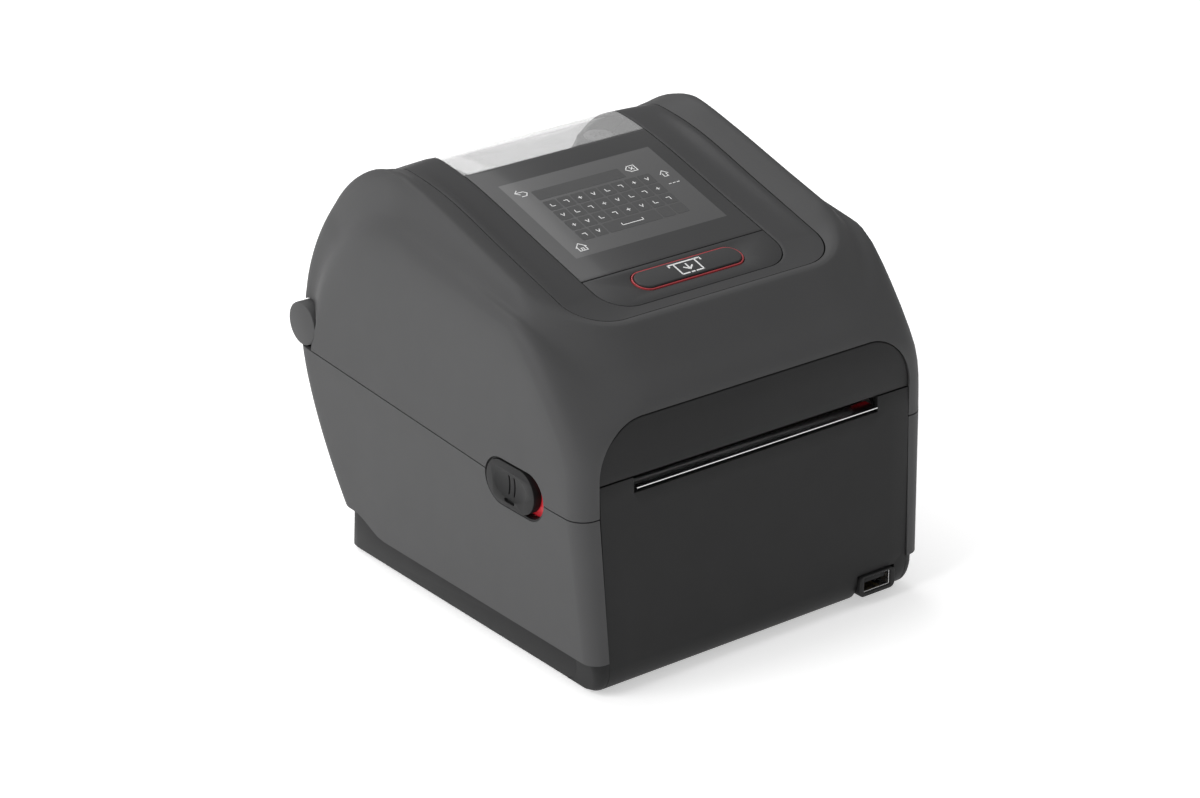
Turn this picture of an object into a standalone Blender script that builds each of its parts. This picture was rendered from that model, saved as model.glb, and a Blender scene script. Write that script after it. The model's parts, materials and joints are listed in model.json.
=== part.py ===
"""Desktop direct-thermal label printer, modelled as an assembly of separate pieces.

+X is to the right of someone facing the front, +Y runs from the front to the back and +Z is up.
The origin is on the ground, under the middle of the printer. Lengths are in millimetres here, and
SCALE turns them into metres when a mesh is made.
"""
import math

import bmesh
import bpy
from mathutils import Matrix, Vector

SCALE = 0.001

# Overall size
WIDTH = 171.0
DEPTH = 195.0
HEIGHT = 170.0
FOOT_HEIGHT = 2.0

# Walls and gaps
WALL = 2.4
CLEAR = 0.35
RUN_CLEAR = 0.6

# Seam between the cover and the base, and the hinge behind it
SEAM_Z = 74.4
SEAM_RISE = 11.0
SEAM_FLAT = 23.0
SEAM_GAP = 0.5
HINGE_INSET = 9.0
HINGE_RISE = 9.0
EAR_R = 9.0
EAR_WIDTH = 6.5
BARREL_R = 8.0
HINGE_PIN_R = 3.0

# Base
SHELL_FOOT_Z = 16.0
SHELL_KICK = 6.0
SIDE_TAPER = 3.5
FRONT_TAPER = 3.8
FRONT_Y = 4.5
BACK_INSET = 2.5
BACK_TAPER = 22.5
TRAY_FLOOR = 2.2
TRAY_INSET = 8.5
FOOT_R = 6.0

# Front panel and label slot
PANEL_SIDE = 10.0
PANEL_NARROW = 1.6
PANEL_SPLIT_Z = 86.7
PANEL_TOP_Z = 110.0
PANEL_R = 21.0
MEDIA_WIDTH = 118.0
SLOT_HEIGHT = 6.2
CHIN_GAP = 1.3
SLOT_SIDE = 0.7
TEAR_BAR_T = 0.5
TEAR_BAR_DROP = 4.3

# Sloping top
RIM_INSET = 23.7
RIM_FRONT = 29.3
RIM_CORNER = 17.0
DECK_DROP_FRONT = 34.4
DECK_DROP_BACK = 8.5
DECK_BACK = 75.0
CREST_BACK = 59.0
GLASS_WIDTH = 88.0
PANEL_START = 7.8
PANEL_SPLIT = 28.4
GLASS_END = 107.0
PANEL_CORNER = 13.0
PLATE_T = 2.0
SCREEN_WIDTH = 73.4
SCREEN_LENGTH = 51.4
SCREEN_START = 41.8
BUTTON_LENGTH = 50.0
BUTTON_WIDTH = 9.8
BUTTON_TRAVEL = 0.8
RING_WIDTH = 0.9
WINDOW_END_RISE = 17.0

# Printing and media parts
PLATEN_R = 7.0
PLATEN_Y = 20.0
SHAFT_R = 3.0
BEARING_R = 6.0
ROLL_R = 63.5
ROLL_MARGIN = 1.5
ROLL_Y = 113.0
ROLL_Z = 86.0
CHASSIS_T = 2.0
HUB_R = 12.0
HUB_DEPTH = 7.0
GUIDE_T = 2.6
GUIDE_SET = 84.0
GEAR_MODULE = 1.0
PINION_TEETH = 10
IDLER_TEETH = 24
PLATEN_TEETH = 20
GEAR_FACE = 5.0
MOTOR_SIZE = 35.0
MOTOR_DEPTH = 22.0
RACK_PINION_R = 6.0
RACK_T = 3.0

# Latches
LATCH_Y = 44.3
LATCH_Z = 74.8
LATCH_BUTTON_LENGTH = 29.7
LATCH_BUTTON_HEIGHT = 17.7
LATCH_BUTTON_T = 3.6
LATCH_TRAVEL = 4.5
LATCH_GAP = 1.0
LATCH_LENGTH = LATCH_BUTTON_LENGTH + LATCH_TRAVEL + 2 * LATCH_GAP + 0.3
LATCH_HEIGHT = LATCH_BUTTON_HEIGHT + 2 * LATCH_GAP
HOOK_T = 2.2

# Front USB socket and rear sockets
USB_X = 58.3
USB_WIDTH = 12.8
USB_HEIGHT = 5.5
USB_Z = 9.7
USB_DEPTH = 15.0
BEZEL_WIDTH = 20.6
BEZEL_HEIGHT = 9.6
BOARD_T = 1.6

N_SIDE = 15
N_CORNER = 5
N_FRONT = 2

PARTS = "label_printer"
BODIES = {}


def front(distance):
    """Y of a point this far behind the frontmost point."""
    return -DEPTH / 2 + distance


def rear(distance):
    """Y of a point this far in front of the rearmost point."""
    return DEPTH / 2 - distance


def below_top(distance):
    """Z of a point this far below the crest."""
    return HEIGHT - distance


def side(distance):
    """Half-width of the printer, less a distance from its side."""
    return WIDTH / 2 - distance


def mix(a, b, share):
    """Value a share of the way from a to b."""
    return a + (b - a) * share


SEAM_START = front(SEAM_FLAT)
HINGE_Y = rear(HINGE_INSET)
SEAM_BACK_Z = SEAM_Z + SEAM_RISE
HINGE_Z = SEAM_BACK_Z + HINGE_RISE
DECK_Y = front(RIM_FRONT)
DECK_Z = below_top(DECK_DROP_FRONT)
DECK_SLOPE = (below_top(DECK_DROP_BACK) - DECK_Z) / (rear(DECK_BACK) - DECK_Y)
TILT = math.atan(DECK_SLOPE)
PLATEN = (front(PLATEN_Y), SEAM_Z + 0.6)
LABEL_Z = PLATEN[1] + PLATEN_R + CLEAR
ROLL = (front(ROLL_Y), ROLL_Z)
TROUGH_R = ROLL_R + ROLL_MARGIN
TROUGH_HALF = MEDIA_WIDTH / 2 + 7.0
CHASSIS_X = TROUGH_HALF + CLEAR
PIN_END = side(1.5)
TRAY_FRONT = front(10.3)
IO_HALF = 56.0
HOOK_X = side(LATCH_BUTTON_T) - CLEAR
EAR_X = side(0.3) - EAR_WIDTH


# ------------------------------------------------------------------ making meshes and objects

def collection(name):
    """A collection in the scene."""
    group = bpy.data.collections.new(name)
    bpy.context.scene.collection.children.link(group)
    return group


def material(name, colour, roughness, metallic=0.0, alpha=1.0):
    """A Principled material."""
    mat = bpy.data.materials.new(name)
    mat.use_nodes = True
    shader = mat.node_tree.nodes["Principled BSDF"]
    shader.inputs["Base Color"].default_value = (*colour, 1.0)
    shader.inputs["Roughness"].default_value = roughness
    shader.inputs["Metallic"].default_value = metallic
    shader.inputs["Alpha"].default_value = alpha
    return mat


def body(name, pivot):
    """An empty on a joint's axis, which carries the pieces that move together."""
    empty = bpy.data.objects.new(name, None)
    empty.location = Vector(pivot) * SCALE
    empty.empty_display_size = 0.01
    bpy.data.collections[PARTS].objects.link(empty)
    BODIES[name] = Vector(pivot)
    return empty


def place(name, mesh, mat, owner=None, smooth=30.0):
    """Put a mesh given in printer millimetres on its owner, or in the base."""
    pivot = BODIES[owner] if owner else Vector((0.0, 0.0, 0.0))
    mesh.transform(Matrix.Scale(SCALE, 4) @ Matrix.Translation(-pivot))
    mesh.name = name
    mesh.materials.clear()
    mesh.materials.append(mat)
    mesh.shade_smooth()
    mesh.set_sharp_from_angle(angle=math.radians(smooth))
    obj = bpy.data.objects.new(name, mesh)
    bpy.data.collections[PARTS].objects.link(obj)
    if owner:
        obj.parent = bpy.data.objects[owner]
    return obj


def cutter(mesh, name="cutter"):
    """A hidden tool for a Boolean, in printer millimetres."""
    mesh.transform(Matrix.Scale(SCALE, 4))
    obj = bpy.data.objects.new(name, mesh)
    obj.hide_render = True
    obj.display_type = "WIRE"
    bpy.data.collections["cutters"].objects.link(obj)
    return obj


def carve(obj, mesh, operation="DIFFERENCE"):
    """Cut a mesh out of an object, or join it on."""
    step = obj.modifiers.new("carve", "BOOLEAN")
    step.operation = operation
    step.object = cutter(mesh, obj.name + "_tool")
    step.solver = "EXACT"


def bevel(obj, width, segments=1, angle=40.0):
    """Round an object's sharp edges."""
    step = obj.modifiers.new("bevel", "BEVEL")
    step.width = width * SCALE
    step.segments = segments
    step.limit_method = "ANGLE"
    step.angle_limit = math.radians(angle)


def solidify(obj, thickness, offset=-1.0):
    """Give an open surface its thickness."""
    step = obj.modifiers.new("wall", "SOLIDIFY")
    step.thickness = thickness * SCALE
    step.offset = offset
    step.use_even_offset = True


def mirror(obj):
    """Mirror a left half that is open at the middle plane."""
    step = obj.modifiers.new("right_half", "MIRROR")
    step.use_clip = True
    step.merge_threshold = 0.0001


def from_bmesh(work):
    """Finish a bmesh as a mesh with its faces pointing out."""
    bmesh.ops.recalc_face_normals(work, faces=work.faces)
    mesh = bpy.data.meshes.new("mesh")
    work.to_mesh(mesh)
    work.free()
    return mesh


def box(low, high):
    """A box between two corners."""
    work = bmesh.new()
    bmesh.ops.create_cube(work, size=1.0)
    size = [b - a for a, b in zip(low, high)]
    middle = [(a + b) / 2 for a, b in zip(low, high)]
    bmesh.ops.scale(work, vec=size, verts=work.verts)
    bmesh.ops.translate(work, vec=middle, verts=work.verts)
    return from_bmesh(work)


TURN = {
    "X": Matrix.Rotation(math.radians(90.0), 4, "Y"),
    "Y": Matrix.Rotation(math.radians(-90.0), 4, "X"),
    "Z": Matrix.Identity(4),
}


def rod(axis, start, end, at, radius, segments=24):
    """A cylinder along an axis, from start to end; at holds the other two coordinates."""
    work = bmesh.new()
    bmesh.ops.create_cone(work, cap_ends=True, segments=segments, radius1=radius, radius2=radius,
                          depth=end - start)
    bmesh.ops.transform(work, matrix=TURN[axis], verts=work.verts)
    middle = (start + end) / 2
    spot = {"X": (middle, *at), "Y": (at[0], middle, at[1]), "Z": (*at, middle)}[axis]
    bmesh.ops.translate(work, vec=spot, verts=work.verts)
    return from_bmesh(work)


def slab(axis, start, end, outline):
    """A flat outline, given in the other two coordinates, extruded along an axis."""
    curve = bpy.data.curves.new("outline", "CURVE")
    curve.dimensions = "2D"
    curve.fill_mode = "BOTH"
    curve.extrude = (end - start) / 2
    line = curve.splines.new("POLY")
    line.points.add(len(outline) - 1)
    for point, (u, v) in zip(line.points, outline):
        point.co = (u, v, 0.0, 1.0)
    line.use_cyclic_u = True
    holder = bpy.data.objects.new("outline", curve)
    bpy.context.scene.collection.objects.link(holder)
    graph = bpy.context.evaluated_depsgraph_get()
    flat = bpy.data.meshes.new_from_object(holder.evaluated_get(graph))
    bpy.data.objects.remove(holder)
    bpy.data.curves.remove(curve)
    middle = (start + end) / 2
    axes = {
        "X": Matrix(((0, 0, 1, middle), (1, 0, 0, 0), (0, 1, 0, 0), (0, 0, 0, 1))),
        "Y": Matrix(((1, 0, 0, 0), (0, 0, -1, middle), (0, 1, 0, 0), (0, 0, 0, 1))),
        "Z": Matrix(((1, 0, 0, 0), (0, 1, 0, 0), (0, 0, 1, middle), (0, 0, 0, 1))),
    }
    work = bmesh.new()
    work.from_mesh(flat)
    bpy.data.meshes.remove(flat)
    bmesh.ops.remove_doubles(work, verts=work.verts, dist=0.001)
    bmesh.ops.transform(work, matrix=axes[axis], verts=work.verts)
    return from_bmesh(work)


def turned(profile, at, segments=32):
    """A shape turned about a line along X; profile holds (x, radius) down its outer side."""
    work = bmesh.new()
    verts = [work.verts.new((radius, 0.0, -x)) for x, radius in profile]
    for a, b in zip(verts, verts[1:]):
        work.edges.new((a, b))
    line = bpy.data.meshes.new("profile")
    work.to_mesh(line)
    work.free()
    holder = bpy.data.objects.new("profile", line)
    bpy.context.scene.collection.objects.link(holder)
    step = holder.modifiers.new("turn", "SCREW")
    step.steps = segments
    step.render_steps = segments
    step.use_merge_vertices = True
    step.merge_threshold = 0.0001
    graph = bpy.context.evaluated_depsgraph_get()
    mesh = bpy.data.meshes.new_from_object(holder.evaluated_get(graph))
    bpy.data.objects.remove(holder)
    mesh.transform(Matrix.Translation((0.0, *at)) @ Matrix.Rotation(math.radians(-90.0), 4, "Y"))
    work = bmesh.new()
    work.from_mesh(mesh)
    return from_bmesh(work)


def sheet(rows, closed=False):
    """An open surface through rows of points, with its faces turned the same way."""
    work = bmesh.new()
    grid = [[work.verts.new(point) for point in row] for row in rows]
    across = len(rows[0])
    for low, high in zip(grid, grid[1:]):
        for i in range(across if closed else across - 1):
            j = (i + 1) % across
            work.faces.new((low[i], low[j], high[j], high[i]))
    mesh = bpy.data.meshes.new("sheet")
    work.to_mesh(mesh)
    work.free()
    return mesh


# ------------------------------------------------------------------ outlines

def arc(centre, radius, start, end, steps):
    """Points of an arc; the angles are in degrees."""
    angles = [math.radians(mix(start, end, i / steps)) for i in range(steps + 1)]
    return [(centre[0] + radius * math.cos(a), centre[1] + radius * math.sin(a)) for a in angles]


def stadium(centre, length, height, steps=8):
    """A slot shape with round ends, lying along the first coordinate."""
    r = height / 2
    reach = length / 2 - r
    return (arc((centre[0] + reach, centre[1]), r, -90, 90, steps)
            + arc((centre[0] - reach, centre[1]), r, 90, 270, steps))


def rounded(low, high, radius, steps=3):
    """A rectangle with round corners."""
    r = radius
    return (arc((high[0] - r, low[1] + r), r, -90, 0, steps)
            + arc((high[0] - r, high[1] - r), r, 0, 90, steps)
            + arc((low[0] + r, high[1] - r), r, 90, 180, steps)
            + arc((low[0] + r, low[1] + r), r, 180, 270, steps))


def gear(centre, teeth, phase):
    """A spur gear's outline; phase is the angle of one tooth, in degrees."""
    pitch = teeth * GEAR_MODULE / 2
    root, tip = pitch - 1.0 * GEAR_MODULE, pitch + 0.7 * GEAR_MODULE
    points = []
    for i in range(teeth):
        middle = math.radians(phase) + 2 * math.pi * i / teeth
        for radius, half in ((root, 0.30), (tip, 0.11)):
            for sign in ((-1,) if radius == root else (-1, 1)):
                a = middle + sign * half * 2 * math.pi / teeth
                points.append((centre[0] + radius * math.cos(a), centre[1] + radius * math.sin(a)))
        a = middle + 0.30 * 2 * math.pi / teeth
        points.append((centre[0] + root * math.cos(a), centre[1] + root * math.sin(a)))
    return points


def smooth(points, count):
    """A smooth curve through 2D points, as count + 1 points equally far apart."""
    dense = []
    padded = [points[0]] + list(points) + [points[-1]]
    for p, a, b, q in zip(padded, padded[1:], padded[2:], padded[3:]):
        for i in range(12):
            t = i / 12
            dense.append(tuple(
                0.5 * (2 * a[k] + (b[k] - p[k]) * t + (2 * p[k] - 5 * a[k] + 4 * b[k] - q[k]) * t * t
                       + (3 * a[k] - p[k] - 3 * b[k] + q[k]) * t ** 3) for k in (0, 1)))
    dense.append(points[-1])
    run = [0.0]
    for a, b in zip(dense, dense[1:]):
        run.append(run[-1] + math.dist(a, b))
    result, j = [], 0
    for i in range(count + 1):
        goal = run[-1] * i / count
        while j < len(run) - 2 and run[j + 1] < goal:
            j += 1
        share = (goal - run[j]) / (run[j + 1] - run[j])
        result.append(tuple(mix(dense[j][k], dense[j + 1][k], share) for k in (0, 1)))
    return result


def arch(start, shoulder, crest, end, power):
    """Side view of the cover: a straight slope up to a crest, then a round back down to the hinge."""
    back = []
    for i in range(1, 8):
        angle = math.pi / 2 * i / 8
        back.append((mix(crest[0], end[0], math.sin(angle) ** (2 / power)),
                     mix(end[1], crest[1], math.cos(angle) ** (2 / power))))
    middle = tuple(mix(a, b, 0.5) for a, b in zip(start, shoulder))
    return [start, middle, shoulder, crest] + back + [end]


def seam_z(y):
    """Height of the seam between the cover and the base."""
    if y < SEAM_START:
        return SEAM_Z
    return SEAM_Z + SEAM_RISE * (y - SEAM_START) / (HINGE_Y - SEAM_START)


# ------------------------------------------------------------------ cover shell

RIM_END = (rear(3.0), HINGE_Z + 8.6)
RIM_ARCH = arch((front(RIM_FRONT + RIM_CORNER), below_top(28.0)), (rear(79.3), below_top(7.4)),
                (rear(58.0), below_top(4.1)), RIM_END, 1.85)
EDGE_ARCH = arch((front(55.0), below_top(21.4)), (rear(85.4), below_top(5.8)),
                 (rear(62.0), below_top(0.3)), RIM_END, 1.85)
CREASE_ARCH = arch((front(48.0), below_top(32.5)), (rear(89.0), below_top(25.6)),
                   (rear(80.0), below_top(24.9)), (rear(19.0), HINGE_Z + 3.6), 1.75)


def around(half_width, front_y, corner_x, corner_y, front_z, side_line, spread=None, flare=0.0):
    """Left half of a ring round the cover, from the hinge forward to the middle of the front.

    side_line runs from the front corner back to the hinge. spread bends how fast the ring climbs
    round the corner, and flare widens it towards the hinge.
    """
    points = []
    for i, (y, z) in enumerate(reversed(side_line)):
        share = max(0.0, 1.0 - 4.0 * i / (len(side_line) - 1))
        points.append((-(half_width + flare * share), y, z))
    side_z = side_line[0][1]
    for i in range(1, N_CORNER + 1):
        angle = math.pi / 2 * (1 - i / N_CORNER)
        climb = math.sin(angle) ** spread if spread else 1 - math.cos(angle)
        points.append((-(half_width - corner_x + corner_x * math.sin(angle)),
                       front_y + corner_y * (1 - math.cos(angle)), mix(front_z, side_z, climb)))
    for i in range(1, N_FRONT + 1):
        points.append((-(half_width - corner_x) * (1 - i / N_FRONT), front_y, front_z))
    return points


def between(ring_a, ring_b, share, push=(0.0, 0.0, 0.0)):
    """A ring a share of the way between two others, moved a little."""
    return [tuple(mix(a[k], b[k], share) + push[k] * (1 if k != 0 or a[0] < -1 else 0) for k in range(3))
            for a, b in zip(ring_a, ring_b)]


def cover_rings():
    """Rings of the cover's outer skin, from the rim round the top down to the seam."""
    rim = around(side(RIM_INSET), front(RIM_FRONT), RIM_CORNER, RIM_CORNER, below_top(32.3),
                 smooth(RIM_ARCH, N_SIDE))
    edge = around(side(11.5), front(24.5), 30.0, 30.5, below_top(34.8),
                  smooth(EDGE_ARCH, N_SIDE), flare=5.0)
    crease = around(side(0.5), front(6.6), 35.0, 41.4, PANEL_TOP_Z + 3.0,
                    smooth(CREASE_ARCH, N_SIDE), spread=3.4)
    seam_line = [(mix(front(FRONT_Y + 8.0), rear(15.5), i / N_SIDE), 0) for i in range(N_SIDE + 1)]
    seam_line = [(y, seam_z(y) + SEAM_GAP / 2) for y, _ in seam_line]
    seam = around(side(0.0), front(FRONT_Y), 8.0, 8.0, SEAM_Z + SEAM_GAP / 2, seam_line)
    crease_line = smooth(CREASE_ARCH, N_SIDE)
    waist_line = [(mix(s[0], c[0], 0.35), mix(s[1], c[1], 0.42)) for s, c in zip(seam_line, crease_line)]
    waist = around(side(0.1), front(FRONT_Y + 0.4), 12.5, 12.5, mix(SEAM_Z, PANEL_TOP_Z, 0.72), waist_line)
    return [rim, between(rim, edge, 0.5, (0.0, 0.0, 0.9)), edge,
            between(edge, crease, 0.5, (1.2, 0.0, -0.4)), crease, waist, seam]


def ear_hole(radius):
    """Cylinder round the hinge axis, right across the printer."""
    return rod("X", -side(-5.0), side(-5.0), (HINGE_Y, HINGE_Z), radius, 32)


def panel_outline(grow):
    """Outline of the dark front panel above the seam, grown all round."""
    x = side(PANEL_SIDE) + grow
    r = PANEL_R + grow
    top = PANEL_TOP_Z + grow
    return ([(-x, SEAM_Z - 20.0), (x, SEAM_Z - 20.0)] + arc((x - r, top - r), r, 0, 90, 6)
            + arc((r - x, top - r), r, 90, 180, 6))


def latch_outline(grow):
    """Outline of the latch recess in a side wall, grown all round."""
    return stadium((front(LATCH_Y), LATCH_Z), LATCH_LENGTH + 2 * grow, LATCH_HEIGHT + 2 * grow)


def cover_shell(mats):
    """The grey cover: one skin round the front and both sides, with its front and latch openings."""
    shell = place("cover_shell", sheet(cover_rings()), mats["grey"], "cover")
    mirror(shell)
    solidify(shell, WALL, offset=1.0)
    for sign in (-1, 1):
        span = sorted((sign * side(WALL + 4.0), sign * side(-4.0)))
        carve(shell, slab("X", *span, latch_outline(0.0)))
    carve(shell, slab("Y", front(-6.0), front(20.0), panel_outline(CLEAR)))
    carve(shell, ear_hole(EAR_R + CLEAR))


def cover_profile(count, drop=0.0):
    """Side view of the sloping deck and the window, down the back, as (y, z)."""
    line = arch((DECK_Y, DECK_Z), (rear(DECK_BACK), below_top(DECK_DROP_BACK)),
                (rear(CREST_BACK), below_top(6.6)), (RIM_END[0] - 2.0, RIM_END[1]), 1.85)
    return [(y, z - drop) for y, z in smooth(line, count)]


def deck(x, along, above):
    """A point on the sloping deck: along it from the front, and above it."""
    return (x, DECK_Y + along * math.cos(TILT) - above * math.sin(TILT),
            DECK_Z + along * math.sin(TILT) + above * math.cos(TILT))


def on_deck(mesh):
    """Move a mesh made flat, as (x, along, above), onto the sloping deck."""
    mesh.transform(Matrix.Translation((0.0, DECK_Y, DECK_Z)) @ Matrix.Rotation(TILT, 4, "X"))
    return mesh


def span_of(line, low, high, count):
    """Points equally far apart on a profile, between two distances along it."""
    run = [0.0]
    for a, b in zip(line, line[1:]):
        run.append(run[-1] + math.dist(a, b))
    result, j = [], 0
    for i in range(count + 1):
        goal = mix(low, high, i / count)
        while j < len(run) - 2 and run[j + 1] < goal:
            j += 1
        share = (goal - run[j]) / (run[j + 1] - run[j])
        result.append(tuple(mix(line[j][k], line[j + 1][k], share) for k in (0, 1)))
    return result


def down_to(line, z):
    """Distance along a profile at which it has come back down to a height, past the crest."""
    run = 0.0
    for a, b in zip(line, line[1:]):
        step = math.dist(a, b)
        if a[0] > rear(CREST_BACK) and b[1] < z:
            return run + step * (a[1] - z) / (a[1] - b[1])
        run += step
    return run


WINDOW_BOTTOM = RIM_END[1] + WINDOW_END_RISE


def deck_parts(mats):
    """The dished trim, the glass and the clear window, which follow one profile."""
    line = cover_profile(120)
    half = GLASS_WIDTH / 2
    end = down_to(line, WINDOW_BOTTOM)

    rim_line = smooth(RIM_ARCH, 120)
    outer_line = span_of(rim_line, 0.0, down_to(rim_line, WINDOW_BOTTOM), N_SIDE)
    inner_line = span_of(line, PANEL_START + PANEL_CORNER, end, N_SIDE)
    lip = around(side(RIM_INSET) - CLEAR, front(RIM_FRONT) + CLEAR, RIM_CORNER, RIM_CORNER,
                 below_top(32.3), outer_line)
    field = around(half + CLEAR, deck(0, PANEL_START - CLEAR, 0)[1], PANEL_CORNER, PANEL_CORNER,
                   deck(0, PANEL_START, 0)[2], inner_line)
    land = [(x, y, z) for (x, y, _), (_, _, z) in zip(between(lip, field, 0.14), lip)]
    foot = [(x, y, min(z, f[2] + 0.4)) for (x, y, z), f in zip(between(lip, field, 0.42), field)]
    trim = place("cover_trim", sheet([lip, land, foot, field]), mats["trim"], "cover")
    mirror(trim)
    solidify(trim, PLATE_T)

    for name, low, high, count, mat in (
            ("display_glass", PANEL_SPLIT + CLEAR / 2, GLASS_END - CLEAR / 2, 10, mats["glass"]),
            ("media_window", GLASS_END + CLEAR / 2, end, 14, mats["clear"])):
        part = span_of(line, low, high, count)
        rows = [[(x, y, z) for y, z in part] for x in (half, -half)]
        plate = place(name, sheet(rows), mat, "cover", smooth=60.0)
        solidify(plate, PLATE_T - 0.4)


def control_panel(mats):
    """The plate in front of the glass, with its feed button and the light ring round it."""
    half = GLASS_WIDTH / 2
    r = PANEL_CORNER
    outline = ([(half, PANEL_SPLIT - CLEAR / 2), (-half, PANEL_SPLIT - CLEAR / 2)]
               + arc((r - half, PANEL_START + r), r, 180, 270, 5)
               + arc((half - r, PANEL_START + r), r, 270, 360, 5))
    middle = (0.0, (PANEL_START + PANEL_SPLIT) / 2 + 1.4)
    hole = stadium(middle, BUTTON_LENGTH + 2 * (RING_WIDTH + CLEAR),
                   BUTTON_WIDTH + 2 * (RING_WIDTH + CLEAR))
    panel = place("control_panel", on_deck(slab("Z", -PLATE_T, 0.0, outline)), mats["trim"], "cover")
    carve(panel, on_deck(slab("Z", -PLATE_T - 1, 1.0, hole)))
    ring = stadium(middle, BUTTON_LENGTH + 2 * RING_WIDTH, BUTTON_WIDTH + 2 * RING_WIDTH)
    light = place("light_ring", on_deck(slab("Z", -PLATE_T, 0.25, ring)), mats["red"], "cover")
    inner = stadium(middle, BUTTON_LENGTH + 2 * CLEAR, BUTTON_WIDTH + 2 * CLEAR)
    carve(light, on_deck(slab("Z", -PLATE_T - 1, 1.0, inner)))
    body("feed_button_body", deck(0.0, middle[1], 0.0))
    cap = stadium(middle, BUTTON_LENGTH, BUTTON_WIDTH)
    button = place("feed_button", on_deck(slab("Z", -PLATE_T - 0.2, 0.9, cap)), mats["trim"],
                   "feed_button_body")
    bevel(button, 0.4)
    board = (half - 6.0, PANEL_SPLIT + 9.0)
    low, top = -PLATE_T - BUTTON_TRAVEL - 0.4 - BOARD_T, -PLATE_T - BUTTON_TRAVEL - 0.4
    place("cover_board", on_deck(box((-board[0], PANEL_START + 4.0, low), (board[0], board[1], top))),
          mats["board"], "cover")


def display_module(mats):
    """The screen behind the glass."""
    x = SCREEN_WIDTH / 2
    end = SCREEN_START + SCREEN_LENGTH
    low, top = -4.8, -(PLATE_T - 0.4) - CLEAR
    place("display_module", on_deck(box((-x, SCREEN_START, low), (x, end, top))), mats["screen"], "cover")


def cover_inside(mats):
    """The liner under the deck, the back panel, the print head's bracket and the latch catches."""
    liner_top = -PLATE_T - BUTTON_TRAVEL - 0.8 - BOARD_T
    x = side(RIM_INSET) - 1.5
    liner = place("cover_liner", on_deck(box((-x, 5.0, liner_top - 1.4), (x, 97.0, liner_top))),
                  mats["dark"], "cover")
    bevel(liner, 0.5)

    line = smooth(RIM_ARCH, 120)
    line = span_of(line, down_to(line, WINDOW_BOTTOM - CLEAR), down_to(line, RIM_END[1] + 1.5), 4)
    rows = [[(at, y, z) for y, z in line] for at in (x + 1.0, -x - 1.0)]
    back = place("cover_back_panel", sheet(rows), mats["grey"], "cover")
    solidify(back, WALL)

    reach = MEDIA_WIDTH / 2
    head_top = LABEL_Z + 7.0
    wall_y = front(PLATEN_Y + 25.0)
    liner_z = deck(0.0, (wall_y - DECK_Y) / math.cos(TILT), liner_top - 1.4)[2] - 2.0
    bend = [(front(14.0), head_top + 2.0), (wall_y, head_top + 2.0), (wall_y, liner_z),
            (wall_y + 2.0, liner_z), (wall_y + 2.0, head_top), (front(14.0), head_top)]
    bracket = place("head_bracket", slab("X", -reach, reach, bend), mats["metal"], "cover")
    bevel(bracket, 0.3)

    for name, sign in (("catch_left", -1), ("catch_right", 1)):
        y0 = front(LATCH_Y) - 3.0
        inner, outer = side(9.5), side(WALL + CLEAR)
        out = [(sign * inner, LATCH_Z - 2.0), (sign * (inner + 2.0), LATCH_Z - 2.0),
               (sign * (inner + 2.0), LATCH_Z + 16.0), (sign * outer, LATCH_Z + 16.0),
               (sign * outer, LATCH_Z + 26.0), (sign * inner, LATCH_Z + 26.0)]
        catch = place(name, slab("Y", y0, y0 + 9.0, out), mats["metal"], "cover")
        span = sorted((sign * (inner + 1.0), sign * (HOOK_X - 0.1)))
        carve(catch, rod("X", *span, (y0 + 4.5, LATCH_Z + 3.5), 2.0, 16), "UNION")


def hinge_ears(mats):
    """The round ears on which the cover turns."""
    for name, sign in (("hinge_ear_left", -1), ("hinge_ear_right", 1)):
        axis = (HINGE_Y, HINGE_Z)
        span = sorted((sign * EAR_X, sign * (EAR_X + EAR_WIDTH)))
        ear = place(name, rod("X", *span, axis, EAR_R, 32), mats["grey"], "cover")
        arm = arc(axis, EAR_R - 1.0, 160, 225, 4)
        arm += [(rear(32.0), HINGE_Z - 5.0), (rear(32.0), HINGE_Z + 1.0)]
        inside = sorted((sign * EAR_X, sign * side(WALL + 1.0)))
        carve(ear, slab("X", *inside, arm), "UNION")
        hole = sorted((sign * (EAR_X - 2.0), sign * (PIN_END + CLEAR)))
        carve(ear, rod("X", *hole, axis, HINGE_PIN_R + CLEAR, 20))


def front_panel_upper(mats):
    """The dark panel on the cover, above the label slot."""
    r = PANEL_R
    x = side(PANEL_SIDE)
    outline = ([(-x, PANEL_SPLIT_Z + CLEAR), (x, PANEL_SPLIT_Z + CLEAR)]
               + arc((x - r, PANEL_TOP_Z - r), r, 4, 90, 6) + arc((r - x, PANEL_TOP_Z - r), r, 90, 176, 6))
    place("front_panel_upper", slab("Y", front(FRONT_Y) + 0.8, front(FRONT_Y) + 3.2, outline),
          mats["black"], "cover")


def print_head(mats):
    """The print head, which floats on two springs under its bracket."""
    top = LABEL_Z + 7.0
    body("print_head_body", (0.0, PLATEN[0], LABEL_Z))
    reach = MEDIA_WIDTH / 2 - 3.0
    low = LABEL_Z
    outline = [(front(13.0), low + 2.6), (front(PLATEN_Y - 3.0), low), (front(PLATEN_Y + 8.0), low),
               (front(PLATEN_Y + 12.0), low + 2.0), (front(PLATEN_Y + 12.0), top - 1.8),
               (front(13.0), top - 1.8)]
    place("print_head", slab("X", -reach, reach, outline), mats["metal"], "print_head_body")


# ------------------------------------------------------------------ base

def shell_foot_z(y):
    """Height of the grey shell's lower edge, which kicks up towards the back."""
    kick = min(1.0, max(0.0, (y - rear(58.0)) / 20.0))
    return SHELL_FOOT_Z + SHELL_KICK * kick * kick * (3 - 2 * kick)


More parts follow.
